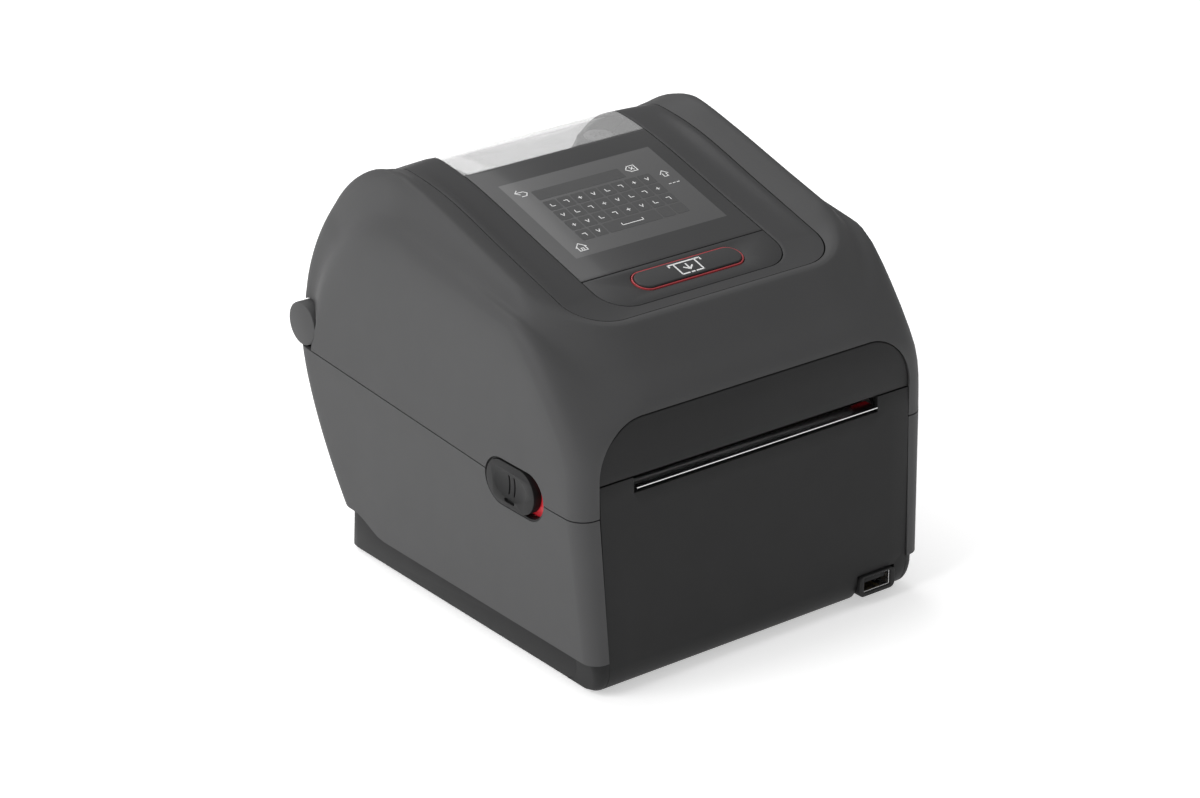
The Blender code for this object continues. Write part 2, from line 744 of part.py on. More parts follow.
def housing_ring(share, inset=0.0):
    """Left half of a ring round the lower housing, from the front strip to the middle of the back."""
    half = mix(side(SIDE_TAPER), side(0.0), share) - inset
    near = mix(front(FRONT_Y - FRONT_TAPER), front(FRONT_Y), share) + inset
    bow = 1.0 - (1.0 - share) ** 1.6
    far = mix(rear(BACK_INSET + BACK_TAPER), rear(BACK_INSET), bow) - inset
    strip = side(PANEL_SIDE) - mix(PANEL_NARROW, 0.0, share) + CLEAR
    r, rb = mix(6.5, 8.0, share), 10.0
    plan = [(-strip, near), (-(half - r), near)]
    plan += [(-(half - r) + r * math.cos(a), near + r + r * math.sin(a))
             for a in (math.radians(270 - 90 * i / N_CORNER) for i in range(1, N_CORNER + 1))]
    plan += [(-half, mix(near + r, far - rb, i / 8)) for i in range(1, 8)]
    plan += [(-(half - rb) + rb * math.cos(a), far - rb + rb * math.sin(a))
             for a in (math.radians(180 - 90 * i / N_CORNER) for i in range(N_CORNER + 1))]
    plan += [(-(half - rb) * (1 - i / 3), far) for i in range(1, 4)]
    ring = []
    for x, y in plan:
        ring.append((x, y, mix(shell_foot_z(y), seam_z(y) - SEAM_GAP / 2, share)))
    return ring


def lower_housing(mats):
    """The grey wall of the base: two front strips, both sides and the back."""
    shares = (1.0, 0.75, 0.5, 0.25, 0.0)
    housing = place("lower_housing", sheet([housing_ring(s) for s in shares]), mats["grey"])
    mirror(housing)
    solidify(housing, WALL)
    carve(housing, ear_hole(EAR_R + CLEAR))
    for sign in (-1, 1):
        span = sorted((sign * side(WALL + 4.0), sign * side(-4.0)))
        carve(housing, slab("X", *span, latch_outline(0.0)))


def tray_plan(half, near, far, radius):
    """A rounded rectangle with points along its sides."""
    steps = [i / 8 for i in range(1, 8)]
    corners = rounded((-half, near), (half, far), radius, 4)
    right = [(half, mix(near + radius, far - radius, s)) for s in steps]
    left = [(-half, mix(far - radius, near + radius, s)) for s in steps]
    return corners[:5] + right + corners[5:15] + left + corners[15:]


def bottom_tray(mats):
    """The dark tray that closes the underside and holds the rear sockets."""
    top_half = side(SIDE_TAPER + WALL) - RUN_CLEAR
    far_low, far_top = rear(BACK_INSET + BACK_TAPER - 2.0), rear(BACK_INSET + BACK_TAPER + WALL) - RUN_CLEAR
    top = [(x, y, shell_foot_z(y) - 0.4)
           for x, y in tray_plan(top_half, front(FRONT_Y + 2.2), far_top, 8.0)]
    low = [(x, y, FOOT_HEIGHT) for x, y in tray_plan(side(TRAY_INSET), TRAY_FRONT, far_low, 9.0)]
    work = bmesh.new()
    rings = [[work.verts.new(point) for point in ring] for ring in (low, top)]
    for i in range(len(low)):
        j = (i + 1) % len(low)
        work.faces.new((rings[0][i], rings[0][j], rings[1][j], rings[1][i]))
    work.faces.new(list(reversed(rings[0])))
    mesh = bpy.data.meshes.new("pan")
    work.to_mesh(mesh)
    work.free()
    tray = place("bottom_tray", mesh, mats["base"])
    solidify(tray, TRAY_FLOOR)
    floor = FOOT_HEIGHT + TRAY_FLOOR
    carve(tray, box((USB_X - BEZEL_WIDTH / 2 - CLEAR, front(-4.0), USB_Z - BEZEL_HEIGHT / 2 - CLEAR),
                    (USB_X + BEZEL_WIDTH / 2 + CLEAR, front(20.0), SHELL_FOOT_Z + 3.0)))
    carve(tray, box((-IO_HALF - CLEAR, rear(36.0), floor + 1.8),
                    (IO_HALF + CLEAR, rear(10.0), SHELL_FOOT_Z + SHELL_KICK + 3.0)))
    spots = [(x, y) for y in (front(28.0), rear(44.0)) for x in (-side(24.0), side(24.0))]
    for i, (x, y) in enumerate(spots, 1):
        foot = place(f"rubber_foot_{i}", rod("Z", 0.0, FOOT_HEIGHT - CLEAR, (x, y), FOOT_R, 20),
                     mats["rubber"])
        bevel(foot, 0.3)


def rear_sockets(mats):
    """The main board with the sockets, and the plate they look out through."""
    plate_y = rear(BACK_INSET + BACK_TAPER) - 3.6
    board_z = FOOT_HEIGHT + TRAY_FLOOR + 0.8
    top = board_z + BOARD_T
    place("main_board", box((-IO_HALF - 4.0, rear(62.0), board_z), (IO_HALF + 4.0, plate_y - 1.5, top)),
          mats["board"])
    low = top + CLEAR
    plate = place("rear_io_plate", box((-IO_HALF, plate_y, FOOT_HEIGHT + TRAY_FLOOR + 2.2),
                                       (IO_HALF, plate_y + 1.4, SHELL_FOOT_Z + SHELL_KICK - 0.6)),
                  mats["black"])
    for name, x, half, high, mat in (("dc_inlet", -40.0, 5.5, 11.0, "black"),
                                     ("usb_device_port", -8.0, 6.0, 10.8, "metal"),
                                     ("ethernet_port", 22.0, 8.0, 12.6, "metal")):
        carve(plate, box((x - half - CLEAR, plate_y - 1, low - CLEAR),
                         (x + half + CLEAR, plate_y + 3, low + high + CLEAR)))
        shell = place(name, box((x - half, plate_y - 13.0, low), (x + half, plate_y + 1.0, low + high)),
                      mats[mat])
        if name == "dc_inlet":
            carve(shell, rod("Y", plate_y - 9.0, plate_y + 3.0, (x, low + high / 2), 3.2, 20))
        else:
            carve(shell, box((x - half + 0.9, plate_y - 10.0, low + 0.9),
                             (x + half - 0.9, plate_y + 3.0, low + high - 0.9)))
    middle = (44.0, low + 6.0)
    carve(plate, box((middle[0] - 5 - CLEAR, plate_y - 1, low + 2 - CLEAR),
                     (middle[0] + 5 + CLEAR, plate_y + 3, low + 10 + CLEAR)))
    body("power_button_body", (middle[0], plate_y, middle[1]))
    power = place("power_button", box((39.0, plate_y - 4.0, low + 2.0), (49.0, plate_y + 3.2, low + 10.0)),
                  mats["black"], "power_button_body")
    bevel(power, 0.5)


def front_panel_lower(mats):
    """The dark panel on the base: a flat face that curls under at the bottom, notched for the labels."""
    y_top, y_low = front(FRONT_Y) + 0.5, front(FRONT_Y - FRONT_TAPER) + 0.4
    chin_z = SHELL_FOOT_Z - 3.0
    depth, drop = TRAY_FRONT - CHIN_GAP - y_low, chin_z - FOOT_HEIGHT
    line = [(y_top, PANEL_SPLIT_Z), (mix(y_top, y_low, 0.5), mix(PANEL_SPLIT_Z, chin_z, 0.5)),
            (y_low, chin_z)]
    line += [(y_low + depth * (1 - math.cos(a)), chin_z - drop * math.sin(a))
             for a in (math.radians(15 * i) for i in range(1, 7))]
    rows = []
    for y, z in line:
        share = (z - SHELL_FOOT_Z) / (SEAM_Z - SHELL_FOOT_Z)
        half = side(PANEL_SIDE) - PANEL_NARROW * (1 - min(1.0, share))
        rows.append([(half, y, z), (0.0, y, z), (-half, y, z)])
    panel = place("front_panel_lower", sheet(rows), mats["black"])
    solidify(panel, WALL)
    reach = MEDIA_WIDTH / 2 + SLOT_SIDE
    carve(panel, box((-reach, front(-6.0), PANEL_SPLIT_Z - SLOT_HEIGHT),
                     (reach, front(16.0), PANEL_SPLIT_Z + 4)))
    carve(panel, box((USB_X - BEZEL_WIDTH / 2 - CLEAR, front(-6.0), FOOT_HEIGHT - 2.0),
                     (USB_X + BEZEL_WIDTH / 2 + CLEAR, front(16.0), USB_Z + BEZEL_HEIGHT / 2 + CLEAR)))
    bar_z = PANEL_SPLIT_Z - TEAR_BAR_DROP
    edge = MEDIA_WIDTH / 2
    place("tear_bar", box((-edge, front(FRONT_Y) - 0.6, bar_z),
                          (edge, front(PLATEN_Y - PLATEN_R - 1.6), bar_z + TEAR_BAR_T)), mats["steel"])


def usb_host(mats):
    """The USB socket at the front and the housing round it."""
    near = front(0.0)
    outline = rounded((USB_X - BEZEL_WIDTH / 2, USB_Z - BEZEL_HEIGHT / 2),
                      (USB_X + BEZEL_WIDTH / 2, USB_Z + BEZEL_HEIGHT / 2), 1.6)
    frame = place("usb_bezel", slab("Y", near, near + 12.0, outline), mats["black"])
    wide, high = USB_WIDTH / 2 + 0.4, USB_HEIGHT / 2 + 0.4
    carve(frame, box((USB_X - wide - CLEAR, near - 2, USB_Z - high - CLEAR),
                     (USB_X + wide + CLEAR, near + 14, USB_Z + high + CLEAR)))
    port = place("usb_host_port", box((USB_X - wide, near + 0.6, USB_Z - high),
                                      (USB_X + wide, near + USB_DEPTH, USB_Z + high)), mats["metal"])
    carve(port, box((USB_X - wide + 0.4, near - 2, USB_Z - high + 0.4),
                    (USB_X + wide - 0.4, near + USB_DEPTH - 2, USB_Z + high - 0.4)))


def hinge_barrel(mats):
    """The barrel along the back, with a pin at each end for the cover's ears."""
    end = EAR_X - CLEAR
    profile = [(-PIN_END, 0.0), (-PIN_END, HINGE_PIN_R), (-end, HINGE_PIN_R), (-end, BARREL_R),
               (end, BARREL_R), (end, HINGE_PIN_R), (PIN_END, HINGE_PIN_R), (PIN_END, 0.0)]
    place("hinge_barrel", turned(profile, (HINGE_Y, HINGE_Z)), mats["dark"])


def media_tray(mats):
    """The trough that holds the roll, with its lead-in to the platen and a slot for each guide."""
    lip_z = PLATEN[1] + 4.0
    start = math.degrees(math.asin((lip_z - ROLL[1]) / TROUGH_R))
    line = [(PLATEN[0] + PLATEN_R + 2.0, lip_z)]
    line += arc(ROLL, TROUGH_R, 180 - start, 354, 20)
    rows = [[(x, y, z) for y, z in line] for x in (TROUGH_HALF, 0.0, -TROUGH_HALF)]
    tray = place("media_tray", sheet(rows), mats["dark"])
    solidify(tray, CHASSIS_T)
    low = ROLL[1] - TROUGH_R
    for sign in (-1, 1):
        span = sorted((sign * 11.0, sign * (MEDIA_WIDTH / 2 + GUIDE_T + 2.0)))
        carve(tray, box((span[0], ROLL[0] - 6.0, low - 6.0), (span[1], ROLL[0] + 6.0, low + 4.0)))


def chassis_outline():
    """Outline of the metal plate at each end of the roll trough."""
    top = SEAM_Z + 2.0
    low = FOOT_HEIGHT + TRAY_FLOOR + 9.0
    return [(front(13.0), low + 8.0), (front(30.0), low), (rear(56.0), low), (rear(34.0), low + 18.0),
            (rear(22.0), top), (front(LATCH_Y + 26.0), top), (front(PLATEN_Y + 10.0), PLATEN[1] + 3.5),
            (PLATEN[0] + 2.0, PLATEN[1] + 6.5), (front(13.0), PLATEN[1] + 6.5)]


def chassis(mats):
    """The two plates, with the bushings in which the platen's shaft turns."""
    for name, sign in (("left", -1), ("right", 1)):
        span = sorted((sign * CHASSIS_X, sign * (CHASSIS_X + CHASSIS_T)))
        plate = place(f"chassis_plate_{name}", slab("X", *span, chassis_outline()), mats["metal"])
        wide = (span[0] - 2.0, span[1] + 2.0)
        carve(plate, rod("X", *wide, PLATEN, BEARING_R - 1.0 + CLEAR, 20))
        bush = sorted((sign * (CHASSIS_X - 1.6), sign * (CHASSIS_X + CHASSIS_T + 0.8)))
        ring = place(f"platen_bearing_{name}", rod("X", *bush, PLATEN, BEARING_R - 1.0, 20), mats["white"])
        carve(ring, rod("X", bush[0] - 1, bush[1] + 1, PLATEN, SHAFT_R + CLEAR, 20))
        if sign < 0:
            carve(plate, rod("X", *wide, MOTOR, 5.0, 16))


GEAR_X = -(CHASSIS_X + CHASSIS_T + 2.0)
MOTOR = (front(PLATEN_Y + 14.0), PLATEN[1] - 34.0)


def gear_centres():
    """Where the idler sits so that it meshes with both the pinion and the platen's gear."""
    a = (PINION_TEETH + IDLER_TEETH) * GEAR_MODULE / 2
    b = (IDLER_TEETH + PLATEN_TEETH) * GEAR_MODULE / 2
    d = math.dist(MOTOR, PLATEN)
    along = (a * a - b * b + d * d) / (2 * d)
    off = math.sqrt(max(0.0, a * a - along * along))
    uy, uz = (PLATEN[0] - MOTOR[0]) / d, (PLATEN[1] - MOTOR[1]) / d
    return (MOTOR[0] + along * uy + off * uz, MOTOR[1] + along * uz - off * uy)


def bearing_angle(start, end):
    """Direction from one centre to another, in degrees."""
    return math.degrees(math.atan2(end[1] - start[1], end[0] - start[0]))


def drive(mats):
    """The motor, its gears and the platen roller."""
    idler = gear_centres()
    motor_span = (-CHASSIS_X + CLEAR, -CHASSIS_X + CLEAR + MOTOR_DEPTH)
    half = MOTOR_SIZE / 2
    case = slab("X", *motor_span, rounded((MOTOR[0] - half, MOTOR[1] - half),
                                          (MOTOR[0] + half, MOTOR[1] + half), 4.0))
    bevel(place("stepper_motor", case, mats["metal"]), 0.4)

    span = (GEAR_X - GEAR_FACE, GEAR_X)
    idler_from_motor = bearing_angle(MOTOR, idler)
    body("pinion_body", (GEAR_X, *MOTOR))
    pinion = place("motor_pinion", slab("X", *span, gear(MOTOR, PINION_TEETH, idler_from_motor)),
                   mats["brass"], "pinion_body")
    carve(pinion, rod("X", GEAR_X - 1.0, -CHASSIS_X - CLEAR, MOTOR, 2.5, 16), "UNION")

    body("idler_body", (GEAR_X, *idler))
    phase = idler_from_motor + 180.0 + 180.0 / IDLER_TEETH
    wheel = place("idler_gear", slab("X", *span, gear(idler, IDLER_TEETH, phase)), mats["white"],
                  "idler_body")
    carve(wheel, rod("X", span[0] - 1, span[1] + 1, idler, 2.0 + CLEAR, 16))
    place("idler_stud", rod("X", span[0] - 1.0, -CHASSIS_X - CHASSIS_T - CLEAR, idler, 2.0, 16),
          mats["steel"])

    body("platen_body", (0.0, *PLATEN))
    towards = bearing_angle(idler, PLATEN)
    step = 360.0 / IDLER_TEETH
    skew = (towards - phase) / step
    skew = (skew - math.floor(skew)) * 360.0 / PLATEN_TEETH
    phase = towards + 180.0 + 180.0 / PLATEN_TEETH + skew
    wheel = place("platen_gear", slab("X", *span, gear(PLATEN, PLATEN_TEETH, phase)), mats["white"],
                  "platen_body")
    carve(wheel, rod("X", span[0] - 1, span[1] + 1, PLATEN, SHAFT_R + CLEAR, 16))
    place("platen_shaft", rod("X", span[0] - 1.5, CHASSIS_X + CHASSIS_T + 3.0, PLATEN, SHAFT_R, 20),
          mats["steel"], "platen_body")
    reach = MEDIA_WIDTH / 2 - 1.0
    roller = place("platen_roller", rod("X", -reach, reach, PLATEN, PLATEN_R, 28), mats["rubber"],
                   "platen_body")
    carve(roller, rod("X", -reach - 1, reach + 1, PLATEN, SHAFT_R + CLEAR, 20))


# ------------------------------------------------------------------ latches

def latches(mats):
    """A sliding button and its hook on each side."""
    z, y = LATCH_Z, front(LATCH_Y)
    rear_y = y + LATCH_LENGTH / 2 - LATCH_GAP
    middle = rear_y - LATCH_BUTTON_LENGTH / 2
    pin_y = front(LATCH_Y) - 3.0 + 4.5
    for name, sign in (("left", -1), ("right", 1)):
        owner = f"latch_{name}_body"
        body(owner, (sign * side(0.0), middle, z))
        outer = side(0.0)
        span = sorted((sign * (outer - LATCH_BUTTON_T), sign * outer))
        cap = stadium((middle, z), LATCH_BUTTON_LENGTH, LATCH_BUTTON_HEIGHT)
        button = place(f"latch_button_{name}", slab("X", *span, cap), mats["black"], owner)
        bevel(button, 0.8, 2)
        span = sorted((sign * HOOK_X, sign * (HOOK_X - HOOK_T)))
        low, pin_top = z - 7.0, z + 3.5 + 2.0
        nose = pin_y - 3.5
        front_edge = middle - LATCH_BUTTON_LENGTH / 2 - 1.0
        shape = [(front_edge, low), (middle + 12.0, low), (middle + 12.0, low + 4.0),
                 (pin_y - 6.0, low + 4.0), (pin_y - 6.0, pin_top + 0.5), (nose, pin_top + 0.5),
                 (nose, pin_top + 2.5), (nose - 2.0, pin_top + 4.5), (front_edge, pin_top + 4.5)]
        place(f"latch_hook_{name}", slab("X", *span, shape), mats["red"], owner)


# ------------------------------------------------------------------ media guides

def media_guides(mats):
    """The two roll holders, which slide apart together on a rack and pinion under the trough."""
    low = ROLL[1] - TROUGH_R
    rack_z = low - 7.6
    set_x = GUIDE_SET / 2
    for name, sign in (("left", -1), ("right", 1)):
        owner = f"guide_{name}_body"
        body(owner, (sign * set_x, ROLL[0], ROLL[1]))
        span = sorted((sign * set_x, sign * (set_x + GUIDE_T)))
        y, z = ROLL
        outline = (arc((y + 33.0, z + 58.0), 9.0, -20, 150, 6) + arc((y, z + 4.0), 17.0, 130, 195, 3)
                   + [(y - 12.0, z - 45.0), (y - 5.0, z - TROUGH_R + 3.0), (y - 5.0, rack_z),
                      (y + 5.0, rack_z), (y + 5.0, z - TROUGH_R + 3.0), (y + 12.0, z - 45.0)]
                   + arc((y, z + 4.0), 17.0, -15, 20, 2))
        guide = place(f"media_guide_{name}", slab("X", *span, outline), mats["dark"], owner)
        rack_y = y - sign * (RACK_PINION_R + RACK_T / 2 + 0.4)
        inner = sorted((sign * (set_x + GUIDE_T / 2), -sign * (MEDIA_WIDTH / 2 - set_x + 8.0)))
        carve(guide, box((inner[0], rack_y - RACK_T / 2, rack_z),
                         (inner[1], rack_y + RACK_T / 2, rack_z + 3.0)), "UNION")
        carve(guide, box((min(span), min(rack_y, y), rack_z),
                         (max(span), max(rack_y, y), rack_z + 3.0)), "UNION")
        spigot = sorted((sign * (set_x - 3.0), sign * (set_x + 1.0)))
        carve(guide, rod("X", *spigot, ROLL, 4.0, 16), "UNION")
        hub_owner = f"hub_{name}_body"
        body(hub_owner, (sign * set_x, ROLL[0], ROLL[1]))
        faces = [(sign * (set_x - HUB_DEPTH - CLEAR), HUB_R - 2.0), (sign * (set_x - CLEAR), HUB_R)]
        hub = place(f"roll_hub_{name}", hub_mesh(sorted(faces)), mats["base"], hub_owner)
        carve(hub, rod("X", *sorted((sign * (set_x - 3.4), sign * (set_x + 2.0))), ROLL, 4.0 + CLEAR, 16))
    body("guide_pinion_body", (0.0, ROLL[0], rack_z))
    place("guide_pinion", rod("Z", rack_z, rack_z + 3.0, (0.0, ROLL[0]), RACK_PINION_R, 24), mats["white"],
          "guide_pinion_body")


def hub_mesh(faces):
    """A tapered disc that fits in the roll's core."""
    (x0, r0), (x1, r1) = faces
    return turned([(x0, 0.0), (x0, r0), (x1, r1), (x1, 0.0)], ROLL, 28)


def gap_sensor(mats):
    """The sensor that finds the gap between labels, which slides across the label path."""
    y = PLATEN[0] + PLATEN_R + 9.0
    z = PLATEN[1] + 4.0 + CLEAR
    body("gap_sensor_body", (30.0, y, z))
    sensor = place("gap_sensor", box((24.0, y - 5.0, z), (36.0, y + 5.0, z + 1.6)), mats["black"],
                   "gap_sensor_body")
    bevel(sensor, 0.3)


# ------------------------------------------------------------------ assembly

def main():
    """Build the printer."""
    for obj in list(bpy.data.objects):
        bpy.data.objects.remove(obj)
    collection(PARTS)
    collection("cutters")
    mats = {
        "grey": material("housing_grey", (0.105, 0.105, 0.108), 0.55),
        "black": material("panel_black", (0.032, 0.032, 0.034), 0.45),
        "base": material("base_dark", (0.045, 0.045, 0.047), 0.5),
        "dark": material("inner_dark", (0.06, 0.06, 0.062), 0.6),
        "trim": material("trim_grey", (0.08, 0.08, 0.083), 0.45),
        "glass": material("display_glass", (0.05, 0.05, 0.053), 0.2),
        "screen": material("screen", (0.15, 0.15, 0.155), 0.3),
        "clear": material("window_clear", (0.75, 0.75, 0.76), 0.08, alpha=0.35),
        "red": material("signal_red", (0.55, 0.03, 0.05), 0.4),
        "metal": material("sheet_metal", (0.5, 0.5, 0.5), 0.35, 1.0),
        "steel": material("polished_steel", (0.65, 0.65, 0.65), 0.22, 1.0),
        "brass": material("brass", (0.6, 0.45, 0.2), 0.3, 1.0),
        "white": material("nylon_white", (0.7, 0.7, 0.68), 0.5),
        "rubber": material("rubber", (0.02, 0.02, 0.02), 0.8),
        "board": material("board_green", (0.02, 0.12, 0.05), 0.5),
    }
    body("cover", (0.0, HINGE_Y, HINGE_Z))
    cover_shell(mats)
    deck_parts(mats)
    control_panel(mats)
    display_module(mats)
    cover_inside(mats)
    hinge_ears(mats)
    front_panel_upper(mats)
    print_head(mats)
    lower_housing(mats)
    bottom_tray(mats)
    rear_sockets(mats)
    front_panel_lower(mats)
    usb_host(mats)
    hinge_barrel(mats)
    media_tray(mats)
    chassis(mats)
    drive(mats)
    latches(mats)
    media_guides(mats)
    gap_sensor(mats)


main()
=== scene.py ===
"""The finished look of a desktop label printer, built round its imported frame.

+X is to the right of someone facing the front, +Y runs to the back and +Z is up. Sizes are in
millimetres, and SCALE turns them into metres when a mesh is made.
"""
import bisect
import json
import math

import bmesh
import bpy
from mathutils import Matrix, Vector

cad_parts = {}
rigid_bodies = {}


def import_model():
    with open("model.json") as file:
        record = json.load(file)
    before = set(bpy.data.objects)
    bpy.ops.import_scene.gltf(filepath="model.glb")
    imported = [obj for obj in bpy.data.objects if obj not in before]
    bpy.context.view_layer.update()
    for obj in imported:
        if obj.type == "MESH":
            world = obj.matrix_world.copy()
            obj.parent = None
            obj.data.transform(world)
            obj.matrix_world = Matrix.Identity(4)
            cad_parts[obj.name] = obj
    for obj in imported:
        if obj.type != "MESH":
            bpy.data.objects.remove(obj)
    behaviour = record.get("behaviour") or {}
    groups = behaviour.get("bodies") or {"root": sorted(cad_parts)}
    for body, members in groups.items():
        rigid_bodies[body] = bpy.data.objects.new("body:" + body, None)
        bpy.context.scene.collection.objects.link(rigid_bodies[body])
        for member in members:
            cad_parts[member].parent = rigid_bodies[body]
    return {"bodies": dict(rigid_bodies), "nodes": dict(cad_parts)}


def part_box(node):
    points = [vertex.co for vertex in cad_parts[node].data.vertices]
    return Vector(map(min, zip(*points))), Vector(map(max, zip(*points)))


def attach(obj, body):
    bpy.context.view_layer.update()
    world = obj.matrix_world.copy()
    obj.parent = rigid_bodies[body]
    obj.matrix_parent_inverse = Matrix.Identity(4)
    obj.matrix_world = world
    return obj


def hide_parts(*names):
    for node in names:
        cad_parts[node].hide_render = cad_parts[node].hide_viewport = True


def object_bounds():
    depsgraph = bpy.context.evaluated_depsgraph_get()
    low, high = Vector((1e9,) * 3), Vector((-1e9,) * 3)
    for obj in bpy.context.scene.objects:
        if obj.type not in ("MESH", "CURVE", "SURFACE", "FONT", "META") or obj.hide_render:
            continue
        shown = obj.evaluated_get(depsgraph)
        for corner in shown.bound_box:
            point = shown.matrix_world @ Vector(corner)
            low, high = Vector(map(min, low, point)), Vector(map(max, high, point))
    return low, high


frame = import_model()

CAD_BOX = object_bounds()
SCALE = 0.001

# Sizes of the printer
HALF_WIDTH = 85.5
HALF_DEPTH = 97.5
HEIGHT = 170.0
WALL = 2.4
GAP = 0.35
SEAM_Z = 74.4
SEAM_RISE = 11.0
SEAM_FLAT = 23.0
SEAM_GAP = 0.5
PANEL_TOP_Z = 110.0
PANEL_SPLIT_Z = 86.7
PANEL_HALF = 75.5
PANEL_R = 21.0
PANEL_NARROW = 1.6
SHELL_FOOT_Z = 16.0
SHELL_KICK = 6.0
FOOT_HEIGHT = 2.0
MEDIA_WIDTH = 118.0
SLOT_HEIGHT = 6.2
RIM_INSET = 23.7
RIM_FRONT = 29.3
RIM_CORNER = 17.0
GLASS_HALF = 44.0
PANEL_START = 7.8
PANEL_SPLIT = 28.4
GLASS_END = 105.5
PANEL_CORNER = 13.0
PLATE_T = 2.0
SCREEN_HALF = 36.7
SCREEN_START = 41.8
SCREEN_LENGTH = 51.4
BUTTON_LENGTH = 50.0
BUTTON_WIDTH = 9.8
RING_WIDTH = 0.9
EAR_R = 9.0
LATCH_Z = 74.8
LATCH_LENGTH = 36.5
LATCH_HEIGHT = 19.7
LATCH_BUTTON_LENGTH = 29.7
LATCH_BUTTON_HEIGHT = 17.7
LATCH_BUTTON_T = 3.6
GUIDE_SET = 84.0
GUIDE_T = 2.6
LATCH_WELL_T = 0.7
USB_X = 58.3
USB_Z = 9.7
USB_HALF = 9.2
USB_RISE = 4.1
USB_GAP = 0.3
ICON_SCALE = (1.4, 1.15)
KEY_PITCH = (6.6, 7.0)
KEY_SIZE = (5.9, 6.2)
KEY_COLUMNS = 8
KEY_ROWS = 3
KEYS_LEFT = -24.0
KEYS_TOP = 74.5

# How finely the smooth surfaces are divided
SIDE_STEPS = 56
CORNER_STEPS = 18
FRONT_STEPS = 8
RING_STEPS = 5


def front(distance):
    """Y of a point this far behind the frontmost point."""
    return -HALF_DEPTH + distance


def rear(distance):
    """Y of a point this far in front of the rearmost point."""
    return HALF_DEPTH - distance


def below_top(distance):
    """Z of a point this far below the crest."""
    return HEIGHT - distance


def side(distance):
    """Half-width of the printer, less a distance from its side."""
    return HALF_WIDTH - distance


def mix(a, b, share):
    """Value a share of the way from a to b."""
    return a + (b - a) * share


CREST_Z = CAD_BOX[1][2] / SCALE - 0.02
HINGE = (rear(9.0), SEAM_Z + SEAM_RISE + 9.0)
DECK_Y = front(RIM_FRONT)
DECK_Z = below_top(34.4)
RIM_FRONT_Z = below_top(32.3)
TILT = math.atan((below_top(8.5) - DECK_Z) / (rear(75.0) - DECK_Y))
LATCH_Y = front(44.3)
LATCH_BUTTON_Y = LATCH_Y + LATCH_LENGTH / 2 - 1.0 - LATCH_BUTTON_LENGTH / 2
FEED_ALONG = (PANEL_START + PANEL_SPLIT) / 2 + 1.4
CHIN_Y = front(1.1)
CHIN_Z = SHELL_FOOT_Z - 3.0
CHIN_DEPTH = front(10.3) - 1.3 - CHIN_Y
CHIN_DROP = CHIN_Z - FOOT_HEIGHT


# ------------------------------------------------------------------ finishes

class Number:
    """A value that varies over a surface; Python's operators add the Math nodes."""

    def __init__(self, finish, socket):
        self.finish = finish
        self.socket = socket

    def math(self, operation, other=None, swap=False):
        """This value and another one through a Math node."""
        first, second = (other, self) if swap else (self, other)
        values = {0: first} if second is None else {0: first, 1: second}
        return self.finish.node("Math", {"operation": operation}, values)

    def __add__(self, other):
        return self.math("ADD", other)

    __radd__ = __add__

    def __mul__(self, other):
        return self.math("MULTIPLY", other)

    __rmul__ = __mul__

    def __sub__(self, other):
        return self.math("SUBTRACT", other)

    def __rsub__(self, other):
        return self.math("SUBTRACT", other, swap=True)

    def __truediv__(self, other):
        return self.math("DIVIDE", other)

    def __gt__(self, other):
        return self.math("GREATER_THAN", other)

    def __lt__(self, other):
        return self.math("LESS_THAN", other)

    def __abs__(self):
        return self.math("ABSOLUTE")


class Finish:
    """A material: its constant values sit on the shader, and what varies is fed in by nodes."""

    def __init__(self, name, **constants):
        self.material = bpy.data.materials.new(name)
        self.material.use_nodes = True
        self.tree = self.material.node_tree
        self.shader = self.tree.nodes["Principled BSDF"]
        for socket, value in constants.items():
            self.feed(self.shader.inputs[socket.replace("_", " ")], value)

    def feed(self, socket, value):
        """Link a varying value to a socket, or set a constant one."""
        if isinstance(value, Number):
            self.tree.links.new(value.socket, socket)
        elif isinstance(value, tuple) and len(value) == 3 and socket.type == "RGBA":
            socket.default_value = (*value, 1.0)
        else:
            socket.default_value = value

    def node(self, kind, settings=None, values=None, output=0):
        """Any shader node, by its type, its settings and the values or links of its sockets."""
        made = self.tree.nodes.new("ShaderNode" + kind)
        for key, value in (settings or {}).items():
            setattr(made, key, value)
        for key, value in (values or {}).items():
            self.feed(made.inputs[key], value)
        return Number(self, made.outputs[output])

    def place(self):
        """The piece's own coordinates."""
        return self.node("TexCoord", output="Object")

    def axes(self):
        """X, Y and Z in millimetres."""
        parts = self.node("SeparateXYZ", values={0: self.place()})
        node = parts.socket.node
        return [Number(self, node.outputs[i]) * (1 / SCALE) for i in range(3)]

    def noise(self, size, detail=2.0, roughness=0.5, stretch=None):
        """Noise whose spots are about this many millimetres across."""
        spot = self.place()
        if stretch:
            spot = self.node("Mapping", values={"Vector": spot, "Scale": stretch})
        return self.node("TexNoise", values={"Vector": spot, "Scale": 1 / (size * SCALE),
                                             "Detail": detail, "Roughness": roughness})

    def between(self, share, low, high):
        """A colour between two others."""
        return self.node("Mix", {"data_type": "RGBA"}, {0: share, 6: low, 7: high}, output=2)

    def colour(self, value):
        self.feed(self.shader.inputs["Base Color"], value)

    def rough(self, value):
        self.feed(self.shader.inputs["Roughness"], value)

    def bumps(self, height, strength, depth):
        """Relief of this depth, in millimetres."""
        bump = self.node("Bump", values={"Height": height, "Strength": strength,
                                         "Distance": depth * SCALE})
        self.feed(self.shader.inputs["Normal"], bump)


def shade(colour, amount):
    """A colour made lighter or darker."""
    return tuple(channel * amount for channel in colour)


